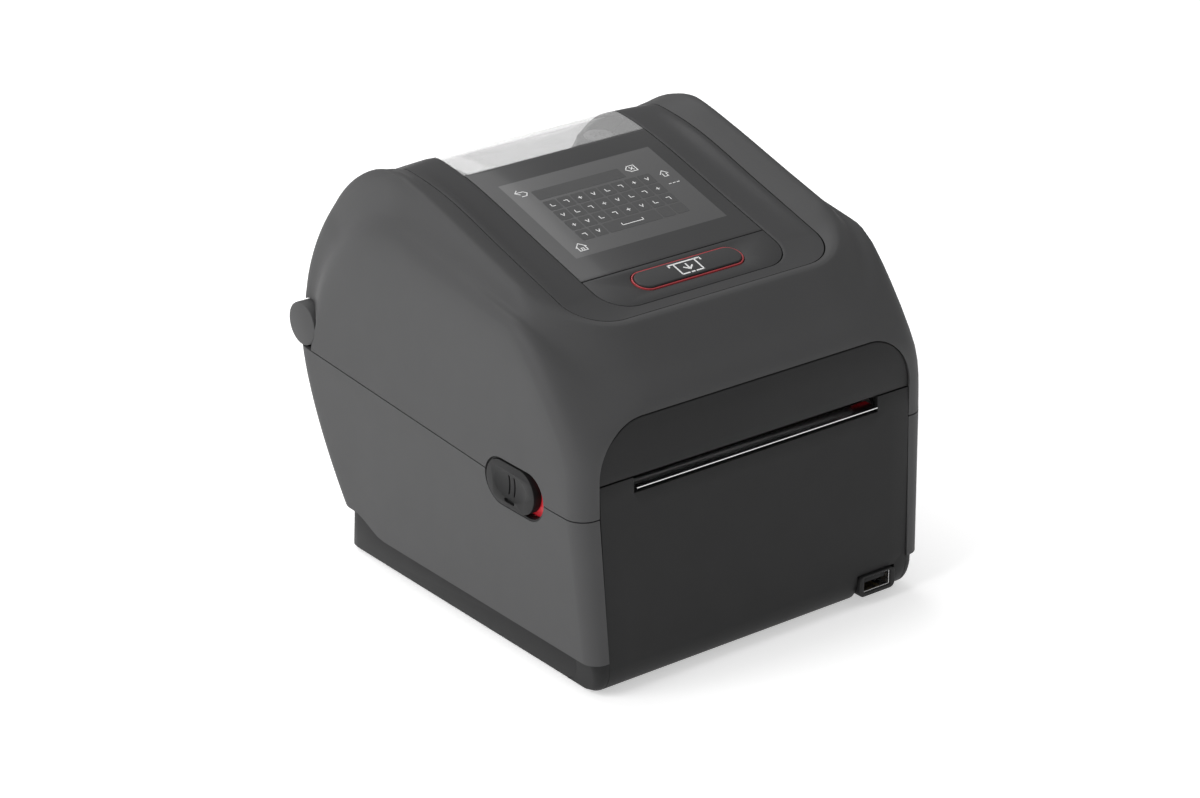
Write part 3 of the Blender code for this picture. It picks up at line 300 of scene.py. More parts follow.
def moulded(name, colour, roughness, grain=0.55, relief=0.045, drift=0.06):
    """Injection-moulded plastic with a fine spark-eroded grain."""
    finish = Finish(name, Specular_IOR_Level=0.22)
    pits = finish.noise(grain, 3.0, 0.65)
    broad = finish.noise(45.0, 2.0)
    rubbed = finish.noise(14.0, 4.0, 0.6)
    finish.colour(finish.between(broad * 0.6 + pits * 0.4, shade(colour, 1 - drift * 1.5),
                                 shade(colour, 1 + drift * 1.5)))
    finish.rough(roughness - 0.05 + rubbed * 0.08 + pits * 0.03)
    finish.bumps(pits, 0.5, relief)
    return finish.material


def pressed(name, colour, roughness):
    """Rolled sheet metal, with its grain drawn out in X and Y."""
    finish = Finish(name, Metallic=1.0)
    drawn_out = 12.0
    grain = finish.noise(0.6, 4.0, 0.6, stretch=(1 / drawn_out, 1 / drawn_out, 1.0))
    stain = finish.noise(22.0, 3.0)
    finish.colour(finish.between(stain, shade(colour, 0.86), shade(colour, 1.08)))
    finish.rough(roughness + grain * 0.12 + stain * 0.06)
    finish.bumps(grain, 0.35, 0.02)
    return finish.material


def rubbery(name, colour):
    """Soft rubber with a dusty, uneven face."""
    finish = Finish(name, Specular_IOR_Level=0.3)
    dust = finish.noise(5.0, 4.0, 0.7)
    pits = finish.noise(0.35, 2.0)
    finish.colour(finish.between(dust, shade(colour, 0.8), shade(colour, 1.5)))
    finish.rough(0.72 + dust * 0.16)
    finish.bumps(pits, 0.4, 0.03)
    return finish.material


def circuit_board():
    """Green board with brighter copper tracks under its lacquer."""
    finish = Finish("board_lacquer", Coat_Weight=0.5)
    tracks = finish.node("TexVoronoi", {"distance": "MANHATTAN", "feature": "F1"},
                         {"Vector": finish.place(), "Scale": 260.0, "Randomness": 0.35})
    line = tracks < 0.28
    finish.colour(finish.between(line, (0.012, 0.085, 0.035), (0.03, 0.17, 0.07)))
    finish.rough(0.38 + finish.noise(3.0) * 0.1)
    finish.bumps(line, 0.3, 0.02)
    return finish.material


def cover_glass():
    """Tinted glass, dark at the edges, with the grey screen showing through in the middle; the screen is
    painted lighter towards the back as painted light.
    """
    finish = Finish("display_glass", Coat_Weight=0.2, Coat_Roughness=0.1, Specular_IOR_Level=0.3)
    x, y, _ = finish.axes()
    along = (y - DECK_Y) / math.cos(TILT)
    screen = (abs(x) < SCREEN_HALF) * (along > SCREEN_START) * (along < SCREEN_START + SCREEN_LENGTH)
    haze = finish.noise(30.0, 2.0)
    # glow: painted light, a colour gradient that makes the screen lighter towards the back; it is not the
    # screen's own tone.
    glow = finish.between(along / 110.0, (0.066, 0.066, 0.067), (0.112, 0.112, 0.113))
    rim = finish.between(haze, (0.034, 0.034, 0.035), (0.040, 0.040, 0.041))
    finish.colour(finish.between(screen, rim, glow))
    finish.rough(0.36 + haze * 0.06)
    return finish.material


def clear_plastic():
    """Clear plastic with a faint smoke tint and fine hairline wear."""
    finish = Finish("window_clear", Specular_IOR_Level=0.5, Coat_Weight=0.4, Coat_Roughness=0.03)
    haze = finish.noise(18.0, 3.0)
    hair = finish.noise(1.2, 3.0, 0.5, stretch=(1.0, 0.08, 1.0))
    finish.colour(finish.between(haze, (0.70, 0.70, 0.70), (0.73, 0.73, 0.73)))
    finish.rough(0.06 + hair * 0.015)
    finish.feed(finish.shader.inputs["Alpha"], 0.30 + haze * 0.02)
    return finish.material


def lit_red(name, colour, glow):
    """Red translucent plastic with a faint glow: on the feed ring the glow is its lamp behind it, and on the
    latch parts it is painted light.
    """
    finish = Finish(name, Emission_Strength=glow)
    patch = finish.noise(3.0, 2.0)
    tint = finish.between(patch, shade(colour, 0.9), shade(colour, 1.1))
    finish.colour(tint)
    finish.feed(finish.shader.inputs["Emission Color"], tint)
    finish.rough(0.38 + patch * 0.08)
    return finish.material


def ink(name, colour):
    """Printed or lit marks."""
    finish = Finish(name)
    patch = finish.noise(0.4, 2.0)
    finish.colour(finish.between(patch, shade(colour, 0.94), colour))
    finish.rough(0.45 + patch * 0.1)
    return finish.material


GREY = moulded("housing_grey", (0.062, 0.062, 0.063), 0.56)
TRIM = moulded("trim_grey", (0.043, 0.043, 0.044), 0.46, relief=0.03)
BLACK = moulded("panel_black", (0.012, 0.012, 0.0123), 0.52)
BASE = moulded("base_dark", (0.012, 0.012, 0.0124), 0.54)
INNER = moulded("inner_dark", (0.05, 0.05, 0.052), 0.58, grain=0.8)
NYLON = moulded("nylon_white", (0.66, 0.66, 0.63), 0.42, relief=0.02)
GLASS = cover_glass()
CLEAR = clear_plastic()
LIGHT = lit_red("ring_light_red", (0.34, 0.035, 0.042), 0.10)
# The latch red's emission is painted light: nothing lights the latch floor or hooks, and the glow keeps them
# bright inside the shaded recess.
RED = lit_red("latch_red", (0.60, 0.018, 0.03), 0.25)
SHEET_METAL = pressed("sheet_metal", (0.50, 0.50, 0.51), 0.32)
STEEL = pressed("polished_steel", (0.66, 0.66, 0.66), 0.14)
BRASS = pressed("brass", (0.62, 0.45, 0.19), 0.22)
RUBBER = rubbery("rubber", (0.018, 0.018, 0.018))
BOARD = circuit_board()
DISC = moulded("disc_grey", (0.24, 0.24, 0.24), 0.45)
CERAMIC = moulded("ceramic_brown", (0.16, 0.105, 0.07), 0.22, relief=0.01)
WHITE_INK = ink("white_marks", (0.82, 0.82, 0.82))
KEY_INK = ink("key_tiles", (0.058, 0.058, 0.059))


# ------------------------------------------------------------------ making pieces

def finished(name, mesh, material, body, stands_for=(), smooth=32.0):
    """Put a mesh given in millimetres on its body, as a named piece."""
    mesh.transform(Matrix.Scale(SCALE, 4))
    mesh.name = name
    mesh.materials.clear()
    mesh.materials.append(material)
    mesh.shade_smooth()
    mesh.set_sharp_from_angle(angle=math.radians(smooth))
    piece = bpy.data.objects.new(name, mesh)
    bpy.context.scene.collection.objects.link(piece)
    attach(piece, body)
    if stands_for:
        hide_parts(*stands_for)


class Work:
    """A mesh in millimetres that modifiers shape before it becomes a piece."""

    def __init__(self, mesh):
        self.obj = bpy.data.objects.new("work", mesh)
        bpy.context.scene.collection.objects.link(self.obj)
        self.tools = []

    def modifier(self, kind, **settings):
        """Add a modifier."""
        step = self.obj.modifiers.new(kind.lower(), kind)
        for key, value in settings.items():
            setattr(step, key, value)
        return self

    def cut(self, mesh, operation="DIFFERENCE"):
        """Cut a mesh out, or with INTERSECT keep only what lies inside it."""
        tool = bpy.data.objects.new("tool", mesh)
        bpy.context.scene.collection.objects.link(tool)
        self.tools.append(tool)
        return self.modifier("BOOLEAN", operation=operation, object=tool, solver="EXACT")

    def edges(self, width, segments=2, angle=38.0):
        """Round the sharp edges."""
        return self.modifier("BEVEL", width=width, segments=segments, limit_method="ANGLE",
                             angle_limit=math.radians(angle), harden_normals=False,
                             miter_outer="MITER_ARC")

    def mesh(self):
        """The finished mesh."""
        graph = bpy.context.evaluated_depsgraph_get()
        result = bpy.data.meshes.new_from_object(self.obj.evaluated_get(graph))
        for spent in [self.obj, *self.tools]:
            bpy.data.objects.remove(spent)
        return result


def from_bmesh(work):
    """Finish a bmesh as a mesh with its faces pointing out."""
    bmesh.ops.recalc_face_normals(work, faces=work.faces)
    mesh = bpy.data.meshes.new("mesh")
    work.to_mesh(mesh)
    work.free()
    return mesh


def box(low, high):
    """A box between two corners."""
    work = bmesh.new()
    bmesh.ops.create_cube(work, size=1.0)
    size = [b - a for a, b in zip(low, high)]
    middle = [(a + b) / 2 for a, b in zip(low, high)]
    bmesh.ops.scale(work, vec=size, verts=work.verts)
    bmesh.ops.translate(work, vec=middle, verts=work.verts)
    return from_bmesh(work)


def prism(axis, start, end, outline):
    """A flat outline, given in the other two coordinates, extruded along an axis."""
    work = bmesh.new()
    order = {"X": (2, 0, 1), "Y": (0, 2, 1), "Z": (0, 1, 2)}[axis]
    loops = []
    for along in (start, end):
        loops.append([work.verts.new([(u, v, along)[k] for k in order]) for u, v in outline])
    for i in range(len(outline)):
        j = (i + 1) % len(outline)
        work.faces.new((loops[0][i], loops[0][j], loops[1][j], loops[1][i]))
    work.faces.new(loops[0])
    work.faces.new(loops[1])
    return from_bmesh(work)


def rod(axis, start, end, at, radius, segments=48):
    """A cylinder along an axis; at holds the other two coordinates."""
    return prism(axis, start, end, arc(at, radius, 0, 360 * (1 - 1 / segments), segments - 1))


def sheet(rows):
    """An open surface through rows of points."""
    work = bmesh.new()
    grid = [[work.verts.new(point) for point in row] for row in rows]
    for low, high in zip(grid, grid[1:]):
        for i in range(len(low) - 1):
            work.faces.new((low[i], low[i + 1], high[i + 1], high[i]))
    mesh = bpy.data.meshes.new("sheet")
    work.to_mesh(mesh)
    work.free()
    return mesh


def joined(*meshes):
    """Several meshes as one."""
    work = bmesh.new()
    for mesh in meshes:
        work.from_mesh(mesh)
        bpy.data.meshes.remove(mesh)
    result = bpy.data.meshes.new("joined")
    work.to_mesh(result)
    work.free()
    return result


def arc(centre, radius, start, end, steps):
    """Points of an arc; the angles are in degrees."""
    angles = [math.radians(mix(start, end, i / steps)) for i in range(steps + 1)]
    return [(centre[0] + radius * math.cos(a), centre[1] + radius * math.sin(a)) for a in angles]


def stadium(centre, length, height, steps=20):
    """A slot shape with round ends, lying along the first coordinate."""
    r = height / 2
    reach = length / 2 - r
    return (arc((centre[0] + reach, centre[1]), r, -90, 90, steps)
            + arc((centre[0] - reach, centre[1]), r, 90, 270, steps))


def rounded(low, high, radius, steps=8):
    """A rectangle with round corners."""
    r = radius
    return (arc((high[0] - r, low[1] + r), r, -90, 0, steps)
            + arc((high[0] - r, high[1] - r), r, 0, 90, steps)
            + arc((low[0] + r, high[1] - r), r, 90, 180, steps)
            + arc((low[0] + r, low[1] + r), r, 180, 270, steps))


def spline(points, t, k):
    """Coordinate k of a smooth curve through four points, between the middle two."""
    p, a, b, q = (point[k] for point in points)
    return 0.5 * (2 * a + (b - p) * t + (2 * p - 5 * a + 4 * b - q) * t * t
                  + (3 * a - p - 3 * b + q) * t ** 3)


def length_along(line):
    """Running length at each point of a line."""
    run = [0.0]
    for a, b in zip(line, line[1:]):
        run.append(run[-1] + math.dist(a, b))
    return run


def span_of(line, low, high, count):
    """Points equally far apart on a line, between two distances along it."""
    run, result, j = length_along(line), [], 0
    for i in range(count + 1):
        goal = mix(low, high, i / count)
        while j < len(run) - 2 and run[j + 1] < goal:
            j += 1
        share = (goal - run[j]) / (run[j + 1] - run[j])
        result.append(tuple(mix(line[j][k], line[j + 1][k], share) for k in (0, 1)))
    return result


def smooth(points, count):
    """A smooth curve through 2D points, as count + 1 points equally far apart."""
    padded = [points[0]] + list(points) + [points[-1]]
    dense = [tuple(spline(four, i / 16, k) for k in (0, 1))
             for four in zip(padded, padded[1:], padded[2:], padded[3:]) for i in range(16)]
    dense.append(points[-1])
    return span_of(dense, 0.0, length_along(dense)[-1], count)


def down_to(line, z):
    """Distance along a profile at which it has come back down to a height, past the crest."""
    run = 0.0
    crest_y = rear(59.0)
    for a, b in zip(line, line[1:]):
        step = math.dist(a, b)
        if a[0] > crest_y and b[1] < z:
            return run + step * (a[1] - z) / (a[1] - b[1])
        run += step
    return run


def flowing(rings, steps):
    """Rings added between the given ones for a smooth surface, no wider or higher than the printer."""
    padded = [rings[0]] + rings + [rings[-1]]
    result = []
    for four in zip(padded, padded[1:], padded[2:], padded[3:]):
        for i in range(steps):
            result.append([tuple(spline(points, i / steps, k) for k in range(3))
                           for points in zip(*four)])
    result.append(rings[-1])
    return [[(max(-HALF_WIDTH, x), y, min(z, CREST_Z)) for x, y, z in ring] for ring in result]


# ------------------------------------------------------------------ shape of the cover

def arch(start, shoulder, crest, end, power):
    """Side view of the cover: a straight slope up to a crest, then a round back down to the hinge."""
    back = []
    for i in range(1, 8):
        angle = math.pi / 2 * i / 8
        back.append((mix(crest[0], end[0], math.sin(angle) ** (2 / power)),
                     mix(end[1], crest[1], math.cos(angle) ** (2 / power))))
    middle = tuple(mix(a, b, 0.5) for a, b in zip(start, shoulder))
    return [start, middle, shoulder, crest] + back + [end]


RIM_END = (rear(3.0), HINGE[1] + 8.6)
RIM_ARCH = arch((front(RIM_FRONT + RIM_CORNER), below_top(28.0)), (rear(79.3), below_top(7.4)),
                (rear(54.0), below_top(3.6)), RIM_END, 1.85)
EDGE_ARCH = arch((front(55.0), below_top(21.4)), (rear(85.4), below_top(5.8)),
                 (rear(62.0), below_top(0.3)), RIM_END, 1.85)
CREASE_ARCH = arch((front(48.0), below_top(32.5)), (rear(89.0), below_top(25.6)),
                   (rear(80.0), below_top(24.9)), (rear(19.0), HINGE[1] + 3.6), 1.75)
DECK_ARCH = arch((DECK_Y, DECK_Z), (rear(75.0), below_top(8.5)),
                 (rear(50.0), below_top(3.9)), (RIM_END[0] - 2.0, RIM_END[1]), 1.85)
WINDOW_BOTTOM = RIM_END[1] + 17.0
DECK_LINE = smooth(DECK_ARCH, 240)
DECK_RUN = length_along(DECK_LINE)


def around(half_width, front_y, corner_x, corner_y, front_z, side_line, spread=None, flare=0.0):
    """Left half of a ring round the cover, from the hinge forward to the middle of the front."""
    points = []
    for i, (y, z) in enumerate(reversed(side_line)):
        share = max(0.0, 1.0 - 4.0 * i / (len(side_line) - 1))
        points.append((-(half_width + flare * share), y, z))
    side_z = side_line[0][1]
    for i in range(1, CORNER_STEPS + 1):
        angle = math.pi / 2 * (1 - i / CORNER_STEPS)
        climb = math.sin(angle) ** spread if spread else 1 - math.cos(angle)
        points.append((-(half_width - corner_x + corner_x * math.sin(angle)),
                       front_y + corner_y * (1 - math.cos(angle)), mix(front_z, side_z, climb)))
    for i in range(1, FRONT_STEPS + 1):
        points.append((-(half_width - corner_x) * (1 - i / FRONT_STEPS), front_y, front_z))
    return points


def between(ring_a, ring_b, share, push=(0.0, 0.0, 0.0)):
    """A ring a share of the way between two others, then pushed; its middle point keeps its X."""
    result = []
    for a, b in zip(ring_a, ring_b):
        across = push[0] if a[0] < -1 else 0.0
        moves = (across, push[1], push[2])
        result.append(tuple(mix(a[k], b[k], share) + moves[k] for k in range(3)))
    return result


def seam_z(y):
    """Height of the seam between the cover and the base."""
    start = front(SEAM_FLAT)
    return SEAM_Z if y < start else SEAM_Z + SEAM_RISE * (y - start) / (HINGE[0] - start)


def cover_rings():
    """Rings of the cover's outer skin, from the rim round the top down to the seam."""
    rim = around(side(RIM_INSET), front(RIM_FRONT), RIM_CORNER, RIM_CORNER, RIM_FRONT_Z,
                 smooth(RIM_ARCH, SIDE_STEPS))
    edge = around(side(11.5), front(24.5), 30.0, 30.5, below_top(34.8),
                  smooth(EDGE_ARCH, SIDE_STEPS), flare=5.0)
    crease_line = smooth(CREASE_ARCH, SIDE_STEPS)
    crease = around(side(0.5), front(6.6), 35.0, 41.4, PANEL_TOP_Z + 3.0, crease_line, spread=3.4)
    seam_y = [mix(front(12.5), rear(15.5), i / SIDE_STEPS) for i in range(SIDE_STEPS + 1)]
    seam_line = [(y, seam_z(y) + SEAM_GAP / 2) for y in seam_y]
    seam = around(side(0.0), front(4.5), 8.0, 8.0, SEAM_Z + SEAM_GAP / 2, seam_line)
    waist_line = [(mix(s[0], c[0], 0.35), mix(s[1], c[1], 0.42)) for s, c in zip(seam_line, crease_line)]
    waist = around(side(0.1), front(4.9), 12.5, 12.5, mix(SEAM_Z, PANEL_TOP_Z, 0.72), waist_line)
    return [rim, between(rim, edge, 0.5, (0.0, 0.0, 0.9)), edge,
            between(edge, crease, 0.5, (1.2, 0.0, -0.4)), crease, waist, seam]


def panel_outline(grow):
    """Outline of the dark front panel above the seam, grown all round."""
    x, r, top = PANEL_HALF + grow, PANEL_R + grow, PANEL_TOP_Z + grow
    return ([(-x, SEAM_Z - 20.0), (x, SEAM_Z - 20.0)] + arc((x - r, top - r), r, 0, 90, 24)
            + arc((r - x, top - r), r, 90, 180, 24))


def latch_outline(grow):
    """Outline of the latch recess in a side wall, grown all round."""
    return stadium((LATCH_Y, LATCH_Z), LATCH_LENGTH + 2 * grow, LATCH_HEIGHT + 2 * grow, 28)


def cut_latches(work):
    """Open both latch recesses in a side wall."""
    for sign in (-1, 1):
        work.cut(prism("X", sign * side(WALL + 4.0), sign * side(-4.0), latch_outline(0.0)))


def halves(mesh):
    """Start a piece from its left half, open at the middle plane."""
    return Work(mesh).modifier("MIRROR", use_clip=True, merge_threshold=0.01)


def cover_shell():
    """The grey cover, with its front and latch openings."""
    work = halves(sheet(flowing(cover_rings(), RING_STEPS)))
    work.modifier("SOLIDIFY", thickness=WALL, offset=1.0, use_even_offset=True)
    cut_latches(work)
    work.cut(prism("Y", front(-6.0), front(20.0), panel_outline(GAP)))
    work.cut(rod("X", -side(-5.0), side(-5.0), HINGE, EAR_R + GAP))
    finished("cover_shell_skin", work.mesh(), GREY, "cover", ["cover_shell"])


def deck_trim():
    """The dished trim between the shell's rim and the glass."""
    rim_line = smooth(RIM_ARCH, 240)
    outer = span_of(rim_line, 0.0, down_to(rim_line, WINDOW_BOTTOM), SIDE_STEPS)
    inner = span_of(DECK_LINE, PANEL_START + PANEL_CORNER, down_to(DECK_LINE, WINDOW_BOTTOM), SIDE_STEPS)
    lip = around(side(RIM_INSET) - GAP, front(RIM_FRONT) + GAP, RIM_CORNER, RIM_CORNER,
                 RIM_FRONT_Z, outer)
    field = around(GLASS_HALF + GAP, deck_point(0, PANEL_START - GAP, 0)[1], PANEL_CORNER,
                   PANEL_CORNER, deck_point(0, PANEL_START, 0)[2], inner)
    land = [(x, y, z) for (x, y, _), (_, _, z) in zip(between(lip, field, 0.14), lip)]
    foot = [(x, y, min(z, f[2] + 0.4)) for (x, y, z), f in zip(between(lip, field, 0.42), field)]
    work = halves(sheet(flowing([lip, land, foot, field], RING_STEPS)))
    work.modifier("SOLIDIFY", thickness=PLATE_T, offset=-1.0, use_even_offset=True).edges(0.25)
    finished("deck_trim", work.mesh(), TRIM, "cover", ["cover_trim"])


def deck_point(x, along, above):
    """A point on the sloping deck: along it from the front, and above it."""
    return (x, DECK_Y + along * math.cos(TILT) - above * math.sin(TILT),
            DECK_Z + along * math.sin(TILT) + above * math.cos(TILT))


def glass_point(x, along, above):
    """A point over the glass: along its profile from the front of the deck, and above it."""
    j = min(bisect.bisect_right(DECK_RUN, along) - 1, len(DECK_LINE) - 2)
    a, b = DECK_LINE[j], DECK_LINE[j + 1]
    share = (along - DECK_RUN[j]) / (DECK_RUN[j + 1] - DECK_RUN[j])
    slope = math.atan2(b[1] - a[1], b[0] - a[0])
    return (x, mix(a[0], b[0], share) - above * math.sin(slope),
            mix(a[1], b[1], share) + above * math.cos(slope))


def on_glass(mesh):
    """Move a mesh made flat, as (x, along, above), onto the glass."""
    for vertex in mesh.vertices:
        vertex.co = glass_point(*vertex.co)
    return mesh


def on_deck(mesh):
    """Move a mesh made flat, as (x, along, above), onto the sloping deck."""
    mesh.transform(Matrix.Translation((0.0, DECK_Y, DECK_Z)) @ Matrix.Rotation(TILT, 4, "X"))
    return mesh


def glass_and_window():
    """The glass over the screen, and the clear window behind it."""
    end = down_to(DECK_LINE, WINDOW_BOTTOM)
    for name, low, high, material, slot, node in (
            ("display_glass_plate", PANEL_SPLIT + GAP / 2, GLASS_END - GAP / 2, GLASS, "display_glass",
             "display_glass"),
            ("media_window_pane", GLASS_END + GAP / 2, end, CLEAR, "window_clear", "media_window")):
        part = span_of(DECK_LINE, low, high, 48)
        rows = [[(x, y, z) for y, z in part] for x in (GLASS_HALF, -GLASS_HALF)]
        work = Work(sheet(rows)).modifier("SOLIDIFY", thickness=PLATE_T - 0.4, offset=-1.0)
        work.edges(0.2)
        finished(name, work.mesh(), material, "cover", [node], smooth=60.0)


# ------------------------------------------------------------------ control panel and screen

def control_plate():
    """The plate in front of the glass, the lit ring and the feed button."""
    half, r = GLASS_HALF, PANEL_CORNER
    middle = (0.0, FEED_ALONG)
    outline = ([(half, PANEL_SPLIT - GAP / 2), (-half, PANEL_SPLIT - GAP / 2)]
               + arc((r - half, PANEL_START + r), r, 180, 270, 20)
               + arc((half - r, PANEL_START + r), r, 270, 360, 20))
    reach = 2 * RING_WIDTH
    under, over = -PLATE_T - 1.0, 1.0
    plate = Work(prism("Z", -PLATE_T, 0.0, outline))
    plate.cut(prism("Z", under, over,
                    stadium(middle, BUTTON_LENGTH + reach + 2 * GAP, BUTTON_WIDTH + reach + 2 * GAP)))
    plate.edges(0.25)
    finished("control_plate", on_deck(plate.mesh()), TRIM, "cover", ["control_panel"])

    ring = Work(prism("Z", -PLATE_T, 0.25, stadium(middle, BUTTON_LENGTH + reach, BUTTON_WIDTH + reach)))
    ring.cut(prism("Z", under, over, stadium(middle, BUTTON_LENGTH + 2 * GAP, BUTTON_WIDTH + 2 * GAP)))
    ring.edges(0.12)
    finished("feed_light_ring", on_deck(ring.mesh()), LIGHT, "cover", ["light_ring"])

    cap = Work(prism("Z", -PLATE_T - 0.2, 0.9, stadium(middle, BUTTON_LENGTH, BUTTON_WIDTH)))
    cap.edges(0.55, 4)
    finished("feed_button_cap", on_deck(cap.mesh()), TRIM, "feed_button_unit", ["feed_button"])


def stroke(points, width, low, high):
    """A flat line of even width through 2D points, as one prism for each stretch."""
    parts = []
    for a, b in zip(points, points[1:]):
        ux, uy = (b[0] - a[0]), (b[1] - a[1])
        run = math.hypot(ux, uy)
        ux, uy = ux / run * width / 2, uy / run * width / 2
        a, b = (a[0] - ux * 0.9, a[1] - uy * 0.9), (b[0] + ux * 0.9, b[1] + uy * 0.9)
        parts.append(prism("Z", low, high, [(a[0] - uy, a[1] + ux), (a[0] + uy, a[1] - ux),
                                            (b[0] + uy, b[1] - ux), (b[0] - uy, b[1] + ux)]))
    return joined(*parts)


def marks(name, strokes, body, above, width, laid):
    """Thin printed marks, laid on the deck or the glass."""
    parts = [stroke(points, width, above - 0.1, above) for points in strokes]
    finished(name, laid(joined(*parts)), WHITE_INK, body)


def moved(place, lines):
    """Lines drawn about (0, 0), moved to a place."""
    return [[(place[0] + u, place[1] + v) for u, v in line] for line in lines]


def feed_icon():
    """A label coming down out of a slot, on the feed button."""
    slot_end, edge, top, low = 5.4, 3.6, 2.9, -2.9
    strokes = [[(-slot_end, top), (slot_end, top)],
               [(-edge, top), (-edge, low)], [(edge, top), (edge, low)],
               [(-edge, low), (-1.3, low)], [(1.3, low), (edge, low)],
               [(-0.4, low), (0.4, low)],
               [(0.0, 1.6), (0.0, -1.3)], [(-1.4, 0.2), (0.0, -1.3), (1.4, 0.2)],
               [(-slot_end, top), (-slot_end, top - 1.0)], [(slot_end, top), (slot_end, top - 1.0)]]
    strokes = [[(u * ICON_SCALE[0], v * ICON_SCALE[1]) for u, v in line] for line in strokes]
    marks("feed_icon", moved((0.0, FEED_ALONG), strokes), "feed_button_unit", 0.93, 0.66, on_deck)


def grid_tree():
    """A Geometry Nodes tree that lays copies of a tile out in rows and columns."""
    tree = bpy.data.node_groups.new("rows_and_columns", "GeometryNodeTree")
    tree.interface.new_socket("Geometry", in_out="OUTPUT", socket_type="NodeSocketGeometry")
    inputs = {}
    for name, kind in (("Tile", "Object"), ("Pitch across", "Float"), ("Pitch down", "Float"),
                       ("Columns", "Int"), ("Rows", "Int"), ("Finish", "Material")):
        socket = tree.interface.new_socket(name, in_out="INPUT", socket_type="NodeSocket" + kind)
        inputs[name] = socket.identifier
    link = tree.links.new
    given = tree.nodes.new("NodeGroupInput")
    grid = tree.nodes.new("GeometryNodeMeshGrid")
    for count, pitch, size, verts in (("Columns", "Pitch across", "Size X", "Vertices X"),
                                      ("Rows", "Pitch down", "Size Y", "Vertices Y")):
        gaps = tree.nodes.new("ShaderNodeMath")
        gaps.operation = "SUBTRACT"
        gaps.inputs[1].default_value = 1.0
        span = tree.nodes.new("ShaderNodeMath")
        span.operation = "MULTIPLY"
        link(given.outputs[count], gaps.inputs[0])
        link(gaps.outputs[0], span.inputs[0])
        link(given.outputs[pitch], span.inputs[1])
        link(span.outputs[0], grid.inputs[size])
        link(given.outputs[count], grid.inputs[verts])
    tile = tree.nodes.new("GeometryNodeObjectInfo")
    link(given.outputs["Tile"], tile.inputs["Object"])
    spread = tree.nodes.new("GeometryNodeInstanceOnPoints")
    link(grid.outputs["Mesh"], spread.inputs["Points"])
    link(tile.outputs["Geometry"], spread.inputs["Instance"])
    real = tree.nodes.new("GeometryNodeRealizeInstances")
    link(spread.outputs["Instances"], real.inputs["Geometry"])
    coat = tree.nodes.new("GeometryNodeSetMaterial")
    link(real.outputs["Geometry"], coat.inputs["Geometry"])
    link(given.outputs["Finish"], coat.inputs["Material"])
    out = tree.nodes.new("NodeGroupOutput")
    link(coat.outputs["Geometry"], out.inputs["Geometry"])
    return tree, inputs


GRID, GRID_INPUTS = grid_tree()


def repeated(tile, pitch, counts, finish, centre=(0.0, 0.0, 0.0)):
    """Copies of a tile mesh in columns and rows about a centre, as one mesh."""
    sample = bpy.data.objects.new("tile", tile)
    bpy.context.scene.collection.objects.link(sample)
    work = Work(bpy.data.meshes.new("grid"))
    work.tools.append(sample)
    step = work.obj.modifiers.new("grid", "NODES")
    step.node_group = GRID
    values = {"Tile": sample, "Pitch across": pitch[0], "Pitch down": pitch[1], "Columns": counts[0],
              "Rows": counts[1], "Finish": finish}
    for name, value in values.items():
        step[GRID_INPUTS[name]] = value
    copies = work.mesh()
    copies.transform(Matrix.Translation(centre))
    return copies


